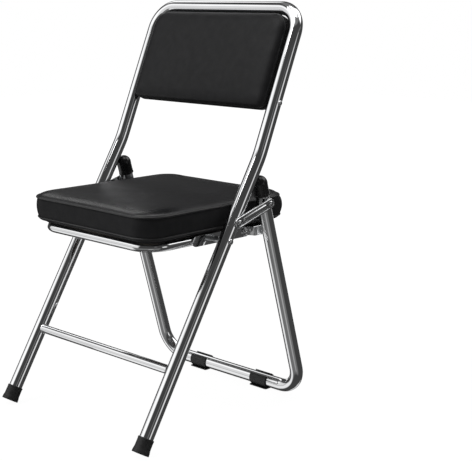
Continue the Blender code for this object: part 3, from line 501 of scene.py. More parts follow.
def turned(profile, place, axis, sides=40, loop=False):
    """Solid of revolution. Profile points are (radius, height along the axis)."""
    bm = bmesh.new()
    rings = []
    for radius, height in profile:
        if radius == 0:
            rings.append([bm.verts.new((0, 0, height))])
            continue
        rings.append([bm.verts.new((radius * math.cos(angle), radius * math.sin(angle), height))
                      for angle in turns(sides)])
    pairs = list(zip(rings, rings[1:]))
    if loop:
        pairs.append((rings[-1], rings[0]))
    for first, second in pairs:
        if len(first) == 1 and len(second) == 1:
            continue
        if len(first) == 1 or len(second) == 1:
            tip, ring = (first, second) if len(first) == 1 else (second, first)
            for k in range(sides):
                bm.faces.new((tip[0], ring[k], ring[(k + 1) % sides]))
        else:
            join_rings(bm, first, second)
    turn = Vector((0, 0, 1)).rotation_difference(Vector(axis)).to_matrix().to_4x4()
    bm.transform(Matrix.Translation(place) @ turn)
    return bm


def arc(middle, radius, start, end, steps):
    """Points on an arc; angles in degrees."""
    points = []
    for step in range(steps + 1):
        angle = math.radians(start + (end - start) * step / steps)
        points.append((middle[0] + radius * math.cos(angle), middle[1] + radius * math.sin(angle)))
    return points


def rounded_profile(points, radius, steps=4):
    """Profile whose inner corners are rounded; a corner's own radius may be its third number."""
    made = [points[0][:2]]
    for index in range(1, len(points) - 1):
        corner = Vector(points[index][:2])
        back = Vector(points[index - 1][:2]) - corner
        ahead = Vector(points[index + 1][:2]) - corner
        own = points[index][2] if len(points[index]) > 2 else radius
        reach = min(own, back.length * 0.45, ahead.length * 0.45)
        start = corner + back.normalized() * reach
        end = corner + ahead.normalized() * reach
        for step in range(steps + 1):
            share = step / steps
            made.append(tuple(start.lerp(corner, share).lerp(corner.lerp(end, share), share)))
    made.append(points[-1][:2])
    return made


def stadium(length, radius, steps=16):
    return arc((length, 0), radius, -90, 90, steps) + arc((0, 0), radius, 90, 270, steps)


def plate(outline, thickness, holes=(), hole_sides=32):
    """Flat plate on local XY. Holes are (x, y, radius)."""
    bm = bmesh.new()
    loops = [outline] + [arc(hole[:2], hole[2], 0, 360 - 360 / hole_sides, hole_sides - 1)
                         for hole in holes]
    edges = []
    for loop in loops:
        ring = [bm.verts.new((x, y, 0)) for x, y in loop]
        for k, vert in enumerate(ring):
            edges.append(bm.edges.new((vert, ring[(k + 1) % len(ring)])))
    made = bmesh.ops.triangle_fill(bm, edges=edges, use_beauty=True)
    faces = [item for item in made["geom"] if isinstance(item, bmesh.types.BMFace)]
    grown = bmesh.ops.extrude_face_region(bm, geom=faces, use_keep_orig=True)
    top = [item for item in grown["geom"] if isinstance(item, bmesh.types.BMVert)]
    bmesh.ops.translate(bm, verts=top, vec=(0, 0, thickness))
    return bm


def side_matrix(place, angle=0.0):
    """Local +X to the rear, raised by angle; local +Y up; local +Z to the left."""
    flat = Matrix(((0, 0, 1), (1, 0, 0), (0, 1, 0)))
    return Matrix.Translation(place) @ (Matrix.Rotation(angle, 3, "X") @ flat).to_4x4()


def dome(radius, rise, height, steps=9):
    points = []
    for step in range(steps):
        angle = math.pi / 2 * step / steps
        points.append((radius * math.cos(angle), height + rise * math.sin(angle)))
    return points + [(0, height + rise)]


def domed_head(radius, rise, height):
    return [(radius * 0.96, height), (radius, height + 0.0002)] + dome(radius, rise, height + HEAD_RIM)


# Chromed frames

def bent_tube(name, run, bends, radius, sides, wall, body, node):
    """Tube along the run's points on the left, and back along their mirror images on the right."""
    mirrored = [across(point, -point.x) for point in reversed(run)]
    path = rounded_path(run + mirrored, bends + bends[::-1])
    add_piece(name, sweep_tube(path, radius, sides, wall), CHROME_TUBE, body, [node])


def main_frame():
    bottom = SOLE_UP_LEG + FOOT_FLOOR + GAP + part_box("foot_cap_left")[0].z
    run = [leg_point(bottom, HALF_WIDTH), leg_point(LEG_LENGTH, HALF_WIDTH),
           back_point(BACK_LENGTH, 0, HALF_WIDTH)]
    bent_tube("main_tube", run, [(KNEE_RADIUS, 10), (TOP_CORNER_RADIUS, 24)], TUBE_R, 56, TUBE_WALL, "main",
              "main_frame_tube")


def crossbar():
    ends = [leg_point(CROSSBAR_UP_LEG, side * (HALF_WIDTH - TUBE_R)) for side in (LEFT, RIGHT)]
    add_piece("crossbar_tube", sweep_tube(divided(ends), CROSSBAR_R, 48), CHROME_TUBE, "main",
              ["front_crossbar"])
    for name, side in SIDES:
        add_piece(f"crossbar_weld_{name}", weld(side), CHROME_STRIP, "main", [])


def weld(side, sides=48):
    """Plated weld fillet from the crossbar's end round onto the leg."""
    bm = bmesh.new()
    rings = []
    middle = leg_point(CROSSBAR_UP_LEG)
    for step in range(9):
        share = step / 8
        ring = []
        for angle in turns(sides):
            ripple = 1 + 0.12 * noise.noise(Vector((3 * math.cos(angle), 3 * math.sin(angle), side * 7.0)))
            reach = WELD * ripple
            radius = CROSSBAR_R + reach * share ** 2.2
            up, out = radius * math.cos(angle), radius * math.sin(angle)
            wall = HALF_WIDTH - math.sqrt(TUBE_R ** 2 - min(abs(out), TUBE_R * 0.98) ** 2)
            x = wall - reach * (1 - share) ** 2.2 + 0.0003 * share
            ring.append(bm.verts.new(across(middle + up * LEG_DIR + out * LEG_SIDE, side * x)))
        rings.append(ring)
    inner = []
    for angle in turns(sides):
        up, out = 0.93 * CROSSBAR_R * math.cos(angle), 0.93 * CROSSBAR_R * math.sin(angle)
        inner.append(bm.verts.new(across(middle + up * LEG_DIR + out * LEG_SIDE,
                                         side * (HALF_WIDTH - TUBE_R + 0.004))))
    rings.append(inner)
    for first, second in zip(rings, rings[1:] + rings[:1]):
        join_rings(bm, first, second)
    return bm


def rear_frame():
    top = (PIVOT_D - REAR_BAR).length + REAR_CAP_ABOVE_PIVOT + REAR_CAP_SKIRT - 2 * GAP
    run = [rear_point(top, REAR_HALF_WIDTH), rear_point(0, REAR_HALF_WIDTH)]
    bent_tube("rear_tube", run, [(REAR_CORNER_RADIUS, 24)], TUBE_R, 56, TUBE_WALL, "rear", "rear_frame_tube")


def seat_frame():
    low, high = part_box("seat_frame_tube")
    rail_x = high.x - RAIL_R
    z = (low.z + high.z) / 2
    run = [Vector((rail_x, high.y, z)), Vector((rail_x, low.y + RAIL_R, z))]
    bent_tube("seat_tube", run, [(RAIL_CORNER_RADIUS, 22)], RAIL_R, 48, THIN_WALL, "seat", "seat_frame_tube")


# Rubber and plastic

SOLE_UP_LEG = (FOOT_R * LEG_DIR.y - FOOT_SOLE_DROP) / LEG_DIR.z


def foot_cap(name, side):
    """Rubber cap: flared sole, moulded bead above the flare, rolled lip at its neck."""
    profile = rounded_profile([(0, 0), (0.0118, 0), (0.0122, 0.0007), (FOOT_R, 0, 0.0012),
                               (FOOT_R - 0.0002, 0.0055, 0.002), (FOOT_NECK_R + 0.0002, 0.0108, 0.003),
                               (FOOT_NECK_R, FOOT_LENGTH - 0.0042, 0.002),
                               (FOOT_NECK_R + 0.0005, FOOT_LENGTH - 0.0024, 0.001),
                               (FOOT_NECK_R + 0.0001, FOOT_LENGTH, 0.001),
                               (CAP_BORE, FOOT_LENGTH, 0.0004), (CAP_BORE, FOOT_FLOOR),
                               (0, FOOT_FLOOR)], 0.0008)
    bm = turned(profile, leg_point(SOLE_UP_LEG, side * HALF_WIDTH), LEG_DIR, 56)
    for vert in bm.verts:
        vert.co.z = max(vert.co.z, 0)
    add_piece(f"foot_rubber_{name}", bm, RUBBER, "main", [f"foot_cap_{name}"])


def rear_cap(name, side):
    """Bullet plug over the rear tube's end, with a small collar at its mouth."""
    lip = REAR_CAP_R
    profile = [(CAP_BORE, 0)] + rounded_profile(
        [(CAP_BORE, 0), (lip, 0, 0.0007), (lip, 0.0035, 0.0006), (lip - 0.0004, 0.0042, 0.0006),
         (lip - 0.0004, REAR_CAP_SKIRT - 0.004, 0.002), (lip - 0.0001, REAR_CAP_SKIRT)], 0.0005)
    profile += dome(lip - 0.0001, lip, REAR_CAP_SKIRT, 14)
    profile += [(0, REAR_CAP_SKIRT), (CAP_BORE, REAR_CAP_SKIRT)]
    up = (PIVOT_D - REAR_BAR).length + REAR_CAP_ABOVE_PIVOT
    bm = turned(profile, rear_point(up, side * REAR_HALF_WIDTH), REAR_DIR, 56, loop=True)
    add_piece(f"rear_plug_{name}", bm, CAP, "rear", [f"rear_tube_cap_{name}"])


def saddle(name):
    """Clip bent round the rear bar, higher behind it, on a thin base flange."""
    outer = CAP_BORE + SADDLE_WALL
    middle = centre(f"rear_saddle_{name}").x
    front, rear = (math.degrees(math.asin((top - REAR_BAR_HEIGHT) / outer))
                   for top in (SADDLE_TOP, SADDLE_REAR_TOP))
    axis = (0, REAR_BAR_HEIGHT)
    outline = arc(axis, outer, -180 - front, rear, 44) + arc(axis, CAP_BORE, rear, -180 - front, 44)
    bm = plate(outline, SADDLE_LENGTH)
    bm.transform(side_matrix((middle - SADDLE_LENGTH / 2, REAR_BAR.y, 0)))
    half_x = SADDLE_LENGTH / 2 + SADDLE_FLANGE - SADDLE_FLANGE_CORNER
    half_y = outer - SADDLE_FLANGE_TUCK - SADDLE_FLANGE_CORNER
    corners = []
    for sx, sy, start in ((1, 1, 0), (-1, 1, 90), (-1, -1, 180), (1, -1, 270)):
        corners += arc((sx * half_x, sy * half_y), SADDLE_FLANGE_CORNER, start, start + 90, 6)
    flange = plate(corners, SADDLE_FLANGE_THICKNESS)
    flange.transform(Matrix.Translation((middle, REAR_BAR.y, 0)))
    add_piece(f"saddle_clip_{name}", bm, SADDLE, "rear", [f"rear_saddle_{name}"],
              CLIP_BEVEL)
    add_piece(f"saddle_flange_{name}", flange, SADDLE, "rear", [], FINE_BEVEL)


# Linkage

def stay_link(name, side):
    """Pressed strip with round ends, a raised rim and a long rib between its two eyes."""
    span = PIVOT_D - PIVOT_C
    length = span.length
    low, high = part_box(f"link_rivet_head_{name}")
    inner = low.x if side == LEFT else high.x
    clear = SHANK_R + PIVOT_CLEAR
    bm = plate(stadium(length, LINK_WIDTH / 2, 20), LINK_THICKNESS, [(0, 0, clear), (length, 0, clear)])
    x = inner if side == LEFT else inner - LINK_THICKNESS
    place = side_matrix(across(PIVOT_C, x), math.atan2(span.z, span.y))
    bm.transform(place)
    add_piece(f"link_strip_{name}", bm, CHROME_STRIP, f"link_{name}", [f"stay_link_{name}"],
              FINE_BEVEL)
    rib = bmesh.new()
    rings = []
    rib_length = length - 2 * RIB_FROM_PIVOT
    for step in range(9):
        turn = math.pi / 2 * step / 8
        width = RIB_R * (0.12 + 0.88 * math.cos(turn) ** 0.8)
        z = LINK_THICKNESS / 2 + side * (LINK_THICKNESS / 2 - 0.0003 + (RIB_RISE + 0.0003) * math.sin(turn))
        rings.append([rib.verts.new((px + RIB_FROM_PIVOT, py, z)) for px, py in stadium(rib_length, width)])
    for first, second in zip(rings, rings[1:]):
        join_rings(rib, first, second)
    for ring in (rings[0], rings[-1]):
        rib.faces.new(ring)
    rib.transform(place)
    add_piece(f"link_rib_{name}", rib, CHROME_STRIP, f"link_{name}", [])
    face = LINK_THICKNESS if side == LEFT else 0
    edge = [Vector((px, py, face)) for px, py in stadium(length, LINK_WIDTH / 2 - LINK_RIM_R, 20)]
    rim = sweep_tube(edge, LINK_RIM_R, 14, closed=True)
    rim.transform(place)
    add_piece(f"link_rim_{name}", rim, CHROME_STRIP, f"link_{name}", [])


def bracket(name):
    node = f"seat_bracket_{name}"
    low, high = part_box(node)
    radius = BRACKET_HEIGHT / 2
    length = high.y - low.y - 2 * radius
    z = (low.z + high.z) / 2
    clear = SHANK_R + PIVOT_CLEAR
    holes = [(PIVOT_A.y - low.y - radius, PIVOT_A.z - z, clear),
             (PIVOT_B.y - low.y - radius, PIVOT_B.z - z, clear)]
    bm = plate(stadium(length, radius, 18), high.x - low.x, holes)
    bm.transform(side_matrix((low.x, low.y + radius, z)))
    add_piece(f"bracket_plate_{name}", bm, CHROME_STRIP, "seat", [node], STRIP_BEVEL)


def lug(name, side):
    """Cranked strap from pivot B back to the rear tube's inner side."""
    low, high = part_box(f"rear_lug_{name}")
    inner, outer = sorted((abs(low.x), abs(high.x)))
    end = high.y - PIVOT_B.y
    radius = LUG_HEIGHT / 2
    outline = rounded_profile([(0, -radius), (end, -radius), (end, radius), (0, radius)], LUG_CORNER)
    outline = outline[1:-1] + arc((0, 0), radius, 90, 270, 20)
    bm = plate(outline, LUG_THICKNESS, [(0, 0, SHANK_R + GAP)])
    run = LUG_BEND_FAR - LUG_BEND_NEAR
    for step in range(-3, 12):
        everything = bm.verts[:] + bm.edges[:] + bm.faces[:]
        place = LUG_BEND_NEAR + run * step / 8
        bmesh.ops.bisect_plane(bm, geom=everything, plane_co=(place, 0, 0), plane_no=(1, 0, 0))
    crank = outer - LUG_THICKNESS - inner
    for vert in bm.verts:
        share = min(max((vert.co.x - LUG_BEND_NEAR + 0.15 * run) / (1.3 * run), 0), 1)
        vert.co.z += crank * share * share * (3 - 2 * share)
    directions = Matrix((Vector((0, 1, 0)), Vector((0, 0, 1)), Vector((side, 0, 0)))).transposed().to_4x4()
    bm.transform(Matrix.Translation(across(PIVOT_B, side * inner)) @ directions)
    add_piece(f"lug_strap_{name}", bm, CHROME_STRIP, "rear", [f"rear_lug_{name}"],
              STRIP_BEVEL)


def pin(node, body, profile, start, side, pivot):
    bm = turned(profile, across(pivot, side * start), (side, 0, 0), 36)
    add_piece(node + "_fine", bm, RIVET, body, [node])


def hardware(name, side):
    """Rivets, bolts, washers and spacers, each on its CAD node's own ends."""
    tail = [(0, -TAIL_RISE)] + rounded_profile([(0, -TAIL_RISE), (TAIL_R, -TAIL_RISE, 0.001), (TAIL_R, 0)],
                                               0.001)[1:] + [(SHANK_R, 0)]

    def ends(node, head=0.0, foot=0.0):
        low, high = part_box(node)
        inner, outer = sorted((abs(low.x), abs(high.x)))
        return inner + foot, outer - head

    rise = HEAD_RISE + HEAD_RIM
    for node, pivot in ((f"seat_pivot_rivet_{name}", PIVOT_A), (f"link_front_rivet_{name}", PIVOT_C)):
        start, end = ends(node, rise, TAIL_RISE)
        profile = tail + [(SHANK_R, end - start)] + domed_head(HEAD_R, HEAD_RISE, end - start)
        pin(node, "main", profile, start, side, pivot)

    node = f"link_rivet_head_{name}"
    start, end = ends(node, rise)
    profile = [(0, 0), (SHANK_R, 0), (SHANK_R, end - start)] + domed_head(HEAD_R, HEAD_RISE, end - start)
    pin(node, f"link_{name}", profile, start, side, PIVOT_D)

    node = f"link_rear_rivet_{name}"
    start, end = ends(node, 0, TAIL_RISE)
    profile = tail + [(SHANK_R, end - start), (0, end - start)]
    pin(node, "rear", profile, start, side, PIVOT_D)

    node = f"seat_rear_bolt_{name}"
    start, end = ends(node, rise, NUT_HEIGHT)
    profile = [(0, -NUT_HEIGHT), (NUT_R - 0.0012, -NUT_HEIGHT), (NUT_R, 0.0008 - NUT_HEIGHT), (NUT_R, 0),
               (SHANK_R, 0), (SHANK_R, end - start)] + domed_head(HEAD_R, HEAD_RISE, end - start)
    pin(node, "rear", profile, start, side, PIVOT_B)

    node = f"back_pad_bolt_{name}"
    bolt = centre(node)
    start, end = ends(node, BOLT_HEAD_RISE + HEAD_RIM)
    profile = [(0, 0), (BOLT_R, 0), (BOLT_R, end - start)]
    profile += domed_head(BOLT_HEAD_R, BOLT_HEAD_RISE, end - start)
    pin(node, "main", profile, start, side, bolt)

    rings = ((f"seat_pivot_spacer_{name}", "main", PIVOT_A, SPACER_R),
             (f"link_front_washer_{name}", "main", PIVOT_C, WASHER_R),
             (f"link_rear_washer_{name}", "rear", PIVOT_D, WASHER_R))
    for node, body, pivot, radius in rings:
        start, end = ends(node)
        thick = end - start
        edge = min(0.0004, thick / 4)
        profile = [(SHANK_R + GAP, 0), (radius - edge, 0), (radius, edge), (radius, thick - edge),
                   (radius - edge, thick), (SHANK_R + GAP, thick)]
        bm = turned(profile, across(pivot, side * start), (side, 0, 0), 36, loop=True)
        add_piece(node + "_fine", bm, ZINC, body, [node])


# Padding

def rounded_grid(half_x, half_y, radii, columns, rows):
    """Rows of points over a rectangle with round corners; radii are for its low and high Y side."""
    grid = []
    for row in range(rows + 1):
        y = half_y * (2 * row / rows - 1)
        radius = radii[0] if y < 0 else radii[1]
        points = []
        for column in range(columns + 1):
            x = half_x * (2 * column / columns - 1)
            over_x = (abs(x) - half_x + radius) / radius
            over_y = (abs(y) - half_y + radius) / radius
            if over_x > 0 and over_y > 0:
                round_x = half_x - radius + radius * over_x * math.sqrt(1 - over_y ** 2 / 2)
                round_y = half_y - radius + radius * over_y * math.sqrt(1 - over_x ** 2 / 2)
                points.append((math.copysign(round_x, x), math.copysign(round_y, y)))
            else:
                points.append((x, y))
        grid.append(points)
    return grid


def border(grid):
    """The grid's outer points, once round."""
    left = [row[0] for row in grid[1:-1]]
    right = [row[-1] for row in grid[1:-1]]
    return grid[0] + right + grid[-1][::-1] + left[::-1]


def upholstered(levels, outline, place):
    """Closed form through rings at the levels (inset, height, crown), with an even grid for its face."""
    bm = bmesh.new()
    rings = [[bm.verts.new(place(x, y, height, crown)) for x, y in border(outline(inset))]
             for inset, height, crown in levels]
    for first, second in zip(rings, rings[1:]):
        join_rings(bm, first, second)
    inset, height, crown = levels[-1]
    grid = outline(inset)
    edge = dict(zip(border(grid), rings[-1]))
    face = [[edge.get((x, y)) or bm.verts.new(place(x, y, height, crown)) for x, y in row] for row in grid]
    for low, high in zip(face, face[1:]):
        for k in range(len(low) - 1):
            bm.faces.new((low[k], low[k + 1], high[k + 1], high[k]))
    tip = bm.verts.new(sum((vert.co for vert in rings[0]), Vector()) / len(rings[0]))
    for k, vert in enumerate(rings[0]):
        bm.faces.new((vert, rings[0][(k + 1) % len(rings[0])], tip))
    bm.verts.index_update()
    return bm, len(rings[0]), tip.index


def band(section, outline, place):
    """Closed band through rings at (inset, height), the last joined to the first."""
    bm = bmesh.new()
    rings = [[bm.verts.new(place(x, y, height)) for x, y in border(outline(inset))]
             for inset, height in section]
    for first, second in zip(rings, rings[1:] + rings[:1]):
        join_rings(bm, first, second)
    return bm


def ring_points(rows, count):
    """Numbers of the points in some of a form's rings."""
    return [row * count + k for row in rows for k in range(count)]


CLOTH_FRAMES = 20


def puff(piece, held, pressure, cap):
    """Fill a sewn cover with cloth pressure, by less than the cap, while the held seams stay in place."""
    scene = bpy.context.scene
    start = [vert.co.copy() for vert in piece.data.vertices]
    seams = piece.vertex_groups.new(name="seams")
    seams.add(held, 1.0, "REPLACE")
    cloth = piece.modifiers.new("cloth", "CLOTH")
    settings = cloth.settings
    settings.quality = 6
    settings.mass = 0.3
    settings.tension_stiffness = 25
    settings.compression_stiffness = 25
    settings.shear_stiffness = 12
    settings.bending_stiffness = 1.5
    settings.vertex_group_mass = "seams"
    settings.use_pressure = True
    settings.uniform_pressure_force = pressure
    settings.effector_weights.gravity = 0
    cloth.point_cache.frame_start = 1
    cloth.point_cache.frame_end = CLOTH_FRAMES
    for number in range(1, CLOTH_FRAMES + 1):
        scene.frame_set(number)
    view = bpy.context.evaluated_depsgraph_get()
    moved = [vert.co.copy() for vert in piece.evaluated_get(view).data.vertices]
    piece.modifiers.remove(cloth)
    scene.frame_set(1)
    steps = []
    for before, after in zip(start, moved):
        step = after - before
        steps.append(step * (cap / (cap + step.length)))
    for vert, before, step in zip(piece.data.vertices, start, evened(piece.data, steps, held)):
        vert.co = before + step
    piece.data.update()


def evened(mesh, steps, held, rounds=24):
    """Moves of a mesh's points, smoothed over their neighbours; held points keep none."""
    near = [[] for _ in steps]
    for edge in mesh.edges:
        one, two = edge.vertices
        near[one].append(two)
        near[two].append(one)
    still = set(held)
    for _ in range(rounds):
        steps = [Vector() if index in still else
                 (step + sum((steps[k] for k in near[index]), Vector()) / len(near[index])) / 2
                 for index, step in enumerate(steps)]
    return steps


def soften(piece):
    smooth = piece.modifiers.new("smooth", "SUBSURF")
    smooth.levels = 1
    smooth.render_levels = 1


SEAT_LOW, SEAT_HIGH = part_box("seat_cushion")
SEAT_MIDDLE = (SEAT_LOW + SEAT_HIGH) / 2
SEAT_HALF = (SEAT_HIGH - SEAT_LOW) / 2
polish_shoulder(SEAT_VINYL, SEAT_LOW.z + CUSHION_WALL, SEAT_LOW.y)
SEAT_GRID = (60, 64)         # columns and rows of its top
HEM_HEIGHT = 0.0068          # lower welt above the cushion's bottom
REAR_TUCK = 0.0070           # rear edges drawn in above and below the rear border
SEAT_CROWN = 0.0018          # middle of the top above its shoulder, before it fills
SHOULDER_RUN = 0.0215
SHOULDER = 0.0096            # top's flat part above the upper welt
HEM_INSET = 0.0052
WELT_INSET = 0.0044
BORDER_BULGE = 0.0034
WELTS = (("upper", 0.0029, CUSHION_WALL, 0.0021), ("lower", 0.0042, HEM_HEIGHT, 0.0014))
SEAT_FILL = (4.0, 0.0035)    # cloth pressure and the most that it may move a point
PAD_FILL = (2.0, 0.0016)
COVER_FILL = (1.5, 0.0010)


def seat_outline(inset):
    radius = max(CUSHION_CORNER - inset, 0.012)
    return rounded_grid(SEAT_HALF.x - inset, SEAT_HALF.y - inset, (radius, radius), *SEAT_GRID)


def seat_place(x, y, height, crown=0.0):
    """Point of the cushion: sides drawn in between the corners, top lifted towards its middle."""
    share_x, share_y = min(abs(x) / SEAT_HALF.x, 1), min(abs(y) / SEAT_HALF.y, 1)
    draw_x = 1 - CUSHION_DRAW_IN / SEAT_HALF.x * (1 - share_y ** 2) ** 2
    draw_y = 1 - CUSHION_DRAW_IN / SEAT_HALF.y * (1 - share_x ** 2) ** 2
    lift = crown * (1 - share_x ** 2.4) * (1 - share_y ** 2.4)
    rise = 2 * min(max(height / CUSHION_WALL, 0), 1) - 1
    tuck = REAR_TUCK * (1 - math.sqrt(1 - rise * rise)) * max(2 * y / SEAT_HALF.y - 1, 0) ** 2
    return Vector((SEAT_MIDDLE.x + x * draw_x - math.copysign(tuck * share_x ** 4, x),
                   SEAT_MIDDLE.y + y * draw_y - tuck, SEAT_LOW.z + height + lift))


def seat_cushion():
    """Foam seat: border that bulges between two welts, crowned top, flat bottom on its board."""
    levels = [(0.060, 0, 0), (0.034, 0, 0), (0.020, 0, 0), (0.0145, 0, 0), (0.0112, 0.0001, 0),
              (0.0082, 0.0010, 0), (0.0060, 0.0026, 0), (0.0048, 0.0047, 0)]
    bottom = len(levels)
    levels.append((HEM_INSET, HEM_HEIGHT, 0))
    hem = len(levels) - 1
    for step in range(1, 10):
        share = step / 10
        inset = HEM_INSET - 0.0012 * share - BORDER_BULGE * math.sin(math.pi * share) ** 0.8
        levels.append((inset, HEM_HEIGHT + share * (CUSHION_WALL - HEM_HEIGHT), 0))
    levels.append((WELT_INSET, CUSHION_WALL, 0))
    welt = len(levels) - 1
    for step in range(1, 9):
        turn = math.pi / 2 * step / 8
        levels.append((WELT_INSET + SHOULDER_RUN * (1 - math.cos(turn)) ** 1.1,
                       CUSHION_WALL + SHOULDER * math.sin(turn), SEAT_CROWN * step / 8))
    bm, count, tip = upholstered(levels, seat_outline, seat_place)
    piece = add_piece("seat_padding", bm, SEAT_VINYL, "seat", ["seat_cushion"])
    piece.data.materials.append(BORDER_VINYL)
    for face in piece.data.polygons:
        face.material_index = int(face.center.z < SEAT_LOW.z + CUSHION_WALL)
    held = ring_points(list(range(bottom - 2)) + [hem, welt], count) + [tip]
    puff(piece, held, *SEAT_FILL)
    soften(piece)
    for name, inset, height, radius in WELTS:
        path = [seat_place(x, y, height) for x, y in border(seat_outline(inset))]
        add_piece(f"seat_welt_{name}", sweep_tube(path, radius, 14, closed=True), WELT_VINYL_PAINTED_HIGHLIGHT, "seat",
                  [])


def seat_skirt():
    """Cover drawn down over the board's edge, with a rolled lower hem."""
    low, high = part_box("seat_board")
    drop = SEAT_LOW.z - low.z
    inset = SEAT_HIGH.x - high.x
    section = [(inset - 0.0003, 0.0006), (inset - 0.0016, 0.0008), (inset - 0.0022, -0.35 * drop),
               (inset - 0.0021, -0.8 * drop), (inset - 0.0012, 0.0001 - drop),
               (inset - 0.0003, 0.0002 - drop)]
    add_piece("seat_skirt", band(section, seat_outline, seat_place), BORDER_VINYL, "seat", [])


BACK_ORIGIN_UP = (PAD_BOTTOM + BACK_LENGTH - TUBE_R - PAD_SIDE_GAP) / 2
PAD_HALF_WIDTH = HALF_WIDTH - TUBE_R - PAD_SIDE_GAP
PAD_HALF_HEIGHT = (BACK_LENGTH - TUBE_R - PAD_SIDE_GAP - PAD_BOTTOM) / 2
PAD_RADII = (PAD_BOTTOM_CORNER, TOP_CORNER_RADIUS - TUBE_R - PAD_SIDE_GAP)
PAD_GRID = (84, 44)          # columns and rows of its face


def pad_outline(inset):
    radii = [max(radius - inset, 0.35 * radius) for radius in PAD_RADII]
    return rounded_grid(PAD_HALF_WIDTH - inset, PAD_HALF_HEIGHT - inset, radii, *PAD_GRID)


def pad_place(x, y, ahead, crown=0.0):
    """Point of the back's padding; the crown lifts it smoothly towards its middle."""
    lift = crown * (1 - abs(x / PAD_HALF_WIDTH) ** 2.4) * (1 - abs(y / PAD_HALF_HEIGHT) ** 2.4)
    return back_point(BACK_ORIGIN_UP + y, ahead + lift, x)


def back_padding():
    """Front padding, rear cover and the folded edge of the cover round the board."""
    base = BOARD_HALF + GAP
    levels = [(0.030, base, 0), (0.015, base, 0), (0.007, base, 0), (0.0022, base + 0.0002, 0),
              (0.0007, base + 0.0016, 0), (0.0004, base + 0.0048, 0), (0.0006, base + 0.0080, 0),
              (0.0014, base + 0.0109, 0), (0.0030, base + 0.0134, 0.0002), (0.0056, base + 0.0154, 0.0006),
              (0.0092, base + 0.0170, 0.0011), (0.0138, base + 0.0181, 0.0016),
              (0.0195, base + 0.0188, 0.0022)]
    bm, count, tip = upholstered(levels, pad_outline, pad_place)
    piece = add_piece("back_padding", bm, BACK_VINYL, "main", ["back_pad"])
    puff(piece, ring_points(range(5), count) + [tip], *PAD_FILL)
    soften(piece)

    levels = [(0.030, -base, 0), (0.015, -base, 0), (0.007, -base, 0), (0.0026, -base - 0.0002, 0),
              (0.0012, -base - 0.0012, 0), (0.0020, -base - 0.0026, 0), (0.0042, -base - 0.0037, 0),
              (0.0080, -base - 0.0042, 0), (0.0130, -base - 0.0044, -0.0006)]
    bm, count, tip = upholstered(levels, pad_outline, pad_place)
    cover = add_piece("back_rear_cover", bm, BACK_VINYL, "main", ["back_cover"])
    puff(cover, ring_points(range(5), count) + [tip], *COVER_FILL)
    soften(cover)

    section = [(0.0013, -base), (0.0004, -base + 0.0012), (0.0002, 0), (0.0004, base - 0.0012),
               (0.0013, base)]
    add_piece("back_cover_edge", band(section, pad_outline, pad_place), BACK_VINYL, "main", [])


# Carried-over nodes

def dress_nodes():
    finishes = {"seat_board": PLYWOOD, "back_board": PLYWOOD}
    for node, item in frame["nodes"].items():
        if item.hide_render:
            continue
        finish = finishes.get(node, ZINC)
        item.data.materials.clear()
        item.data.materials.append(finish)


# Stage and light

# Studio: soft panels round the chair. Each is (bearing from the chair's front towards its left, half its
# width, elevation, half its height, its soft edge, level of light), with angles in degrees.
PANELS = ((-39, 35, 13, 24, 5, 0.80),
          (-38, 28, 27, 10, 6, 1.20),
          (-112, 14, 37, 7, 4, 1.45),
          (-53, 20, -30, 17, 6, 0.95),
          (101, 9, 1, 11, 4, 0.85),
          (122, 20, 16, 6, 5, 0.16),
          (160, 28, 46, 18, 6, 1.90),
          (-163, 25, -52, 12, 6, 0.70),
          (45, 11, -38, 9, 7, 0.42),
          (25, 62, -34, 20, 8, 0.18),
          (65, 5, 18, 7, 3, 0.18),
          (-15, 30, 62, 12, 6, 1.30))
BACKDROP = (-136, 28, -5, 5, 3, 1.0)     # white screen behind the chair, seen in metal too
DIM = 0.055                  # between the panels
CEILING = 0.20
CEILING_FROM = (46, 54)      # elevations between which the ceiling comes in
FLOOR_GLOW = 0.92            # share of the floor's white that no shadow dims
FLOOR_WHITE = 1.06
FLOOR_FADE = (0.5, 1.3)      # distances from the chair between which its floor turns plain white


def panel_level(tree, flat, height, panel):
    """Light from one soft panel in a direction, given its level part and the sine of its elevation."""
    bearing, width, elevation, tall, soft, level = panel
    middle = (math.sin(math.radians(bearing)), -math.cos(math.radians(bearing)), 0)
    wide = eased(tree, vector_node(tree, "DOT_PRODUCT", flat, middle), math.cos(math.radians(width + soft)),
                 math.cos(math.radians(max(width - soft, 0.5))), level)
    foot, sill, top, head = (math.sin(math.radians(angle)) for angle in (
        elevation - tall - soft, elevation - tall + soft, elevation + tall - soft, elevation + tall + soft))
    upright = math_node(tree, "MULTIPLY", eased(tree, height, foot, sill), eased(tree, height, head, top))
    return math_node(tree, "MULTIPLY", wide, upright)


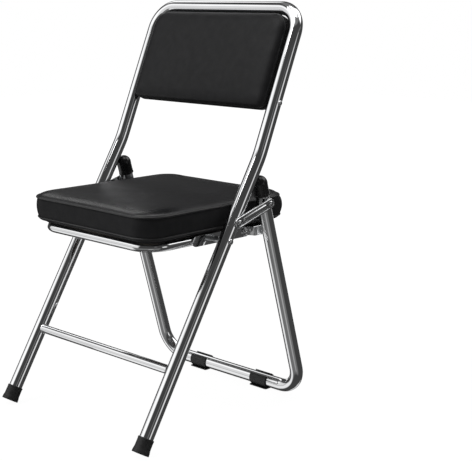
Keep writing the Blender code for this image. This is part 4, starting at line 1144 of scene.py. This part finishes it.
def studio_world():
    """Dim room with soft panels, white to the camera, with a white screen for mirrors to see."""
    world = bpy.data.worlds.new("studio")
    bpy.context.scene.world = world
    world.use_nodes = True
    tree = world.node_tree
    back = tree.nodes["Background"]
    way = tree.nodes.new("ShaderNodeTexCoord")
    parts = tree.nodes.new("ShaderNodeSeparateXYZ")
    tree.links.new(way.outputs["Generated"], parts.inputs["Vector"])
    height = parts.outputs["Z"]
    flat = vector_node(tree, "NORMALIZE", vector_node(tree, "MULTIPLY", way.outputs["Generated"], (1, 1, 0)))
    low, high = (math.sin(math.radians(angle)) for angle in CEILING_FROM)
    level = math_node(tree, "MULTIPLY_ADD", eased(tree, height, low, high), CEILING - DIM, DIM)
    for panel in PANELS:
        level = math_node(tree, "MAXIMUM", level, panel_level(tree, flat, height, panel))
    path = tree.nodes.new("ShaderNodeLightPath")
    mirrored = math_node(tree, "MAXIMUM", path.outputs["Is Glossy Ray"], path.outputs["Is Transmission Ray"])
    screen = panel_level(tree, flat, height, BACKDROP)
    screen = math_node(tree, "MULTIPLY", mirrored, screen)
    white = math_node(tree, "MAXIMUM", path.outputs["Is Camera Ray"], screen)
    tree.links.new(math_node(tree, "MAXIMUM", level, white), back.inputs["Color"])


def add_floor():
    """Pale floor: white to the camera, with the chair's soft shadow."""
    bm = bmesh.new()
    bmesh.ops.create_grid(bm, x_segments=1, y_segments=1, size=6)
    mesh = bpy.data.meshes.new("floor")
    bm.to_mesh(mesh)
    bm.free()
    floor = add_object("floor", mesh)
    floor.visible_glossy = False
    material, tree, shader = make_material("floor_paint", (0.85, 0.85, 0.85), 0.0, 0.9)
    shader.inputs["Specular IOR Level"].default_value = 0.0
    path = tree.nodes.new("ShaderNodeLightPath")
    glow = tree.nodes.new("ShaderNodeEmission")
    glow.inputs["Strength"].default_value = FLOOR_WHITE
    mix = tree.nodes.new("ShaderNodeMixShader")
    place = tree.nodes.new("ShaderNodeTexCoord")
    distance = vector_node(tree, "LENGTH", place.outputs["Object"])
    fade = eased(tree, distance, *FLOOR_FADE, 1 - FLOOR_GLOW)
    share = math_node(tree, "ADD", FLOOR_GLOW, fade)
    seen = math_node(tree, "MULTIPLY", path.outputs["Is Camera Ray"], share)
    tree.links.new(seen, mix.inputs["Fac"])
    tree.links.new(shader.outputs["BSDF"], mix.inputs[1])
    tree.links.new(glow.outputs["Emission"], mix.inputs[2])
    tree.links.new(mix.outputs["Shader"], tree.nodes["Material Output"].inputs["Surface"])
    mesh.materials.append(material)


LAMPS = (("key", (-0.75, -1.25, 2.75), 1.3, 22),         # name, place, width, watts
         ("overhead", (0.2, 0.2, 3.0), 1.4, 16))
LAMP_TARGET = Vector((0, 0, 0.4))


def add_lamp(name, place, size, power):
    data = bpy.data.lights.new(name, "AREA")
    data.shape = "RECTANGLE"
    data.size = data.size_y = size
    data.energy = power
    lamp = add_object(name, data)
    lamp.location = place
    way = LAMP_TARGET - Vector(place)
    lamp.rotation_euler = way.to_track_quat("-Z", "Y").to_euler()


def build():
    bpy.context.scene.view_settings.view_transform = "Standard"
    add_camera()
    main_frame()
    crossbar()
    rear_frame()
    seat_frame()
    for name, side in SIDES:
        foot_cap(name, side)
        rear_cap(name, side)
        saddle(name)
        stay_link(name, side)
        bracket(name)
        lug(name, side)
        hardware(name, side)
    seat_cushion()
    seat_skirt()
    back_padding()
    dress_nodes()
    studio_world()
    add_floor()
    for lamp in LAMPS:
        add_lamp(*lamp)


build()
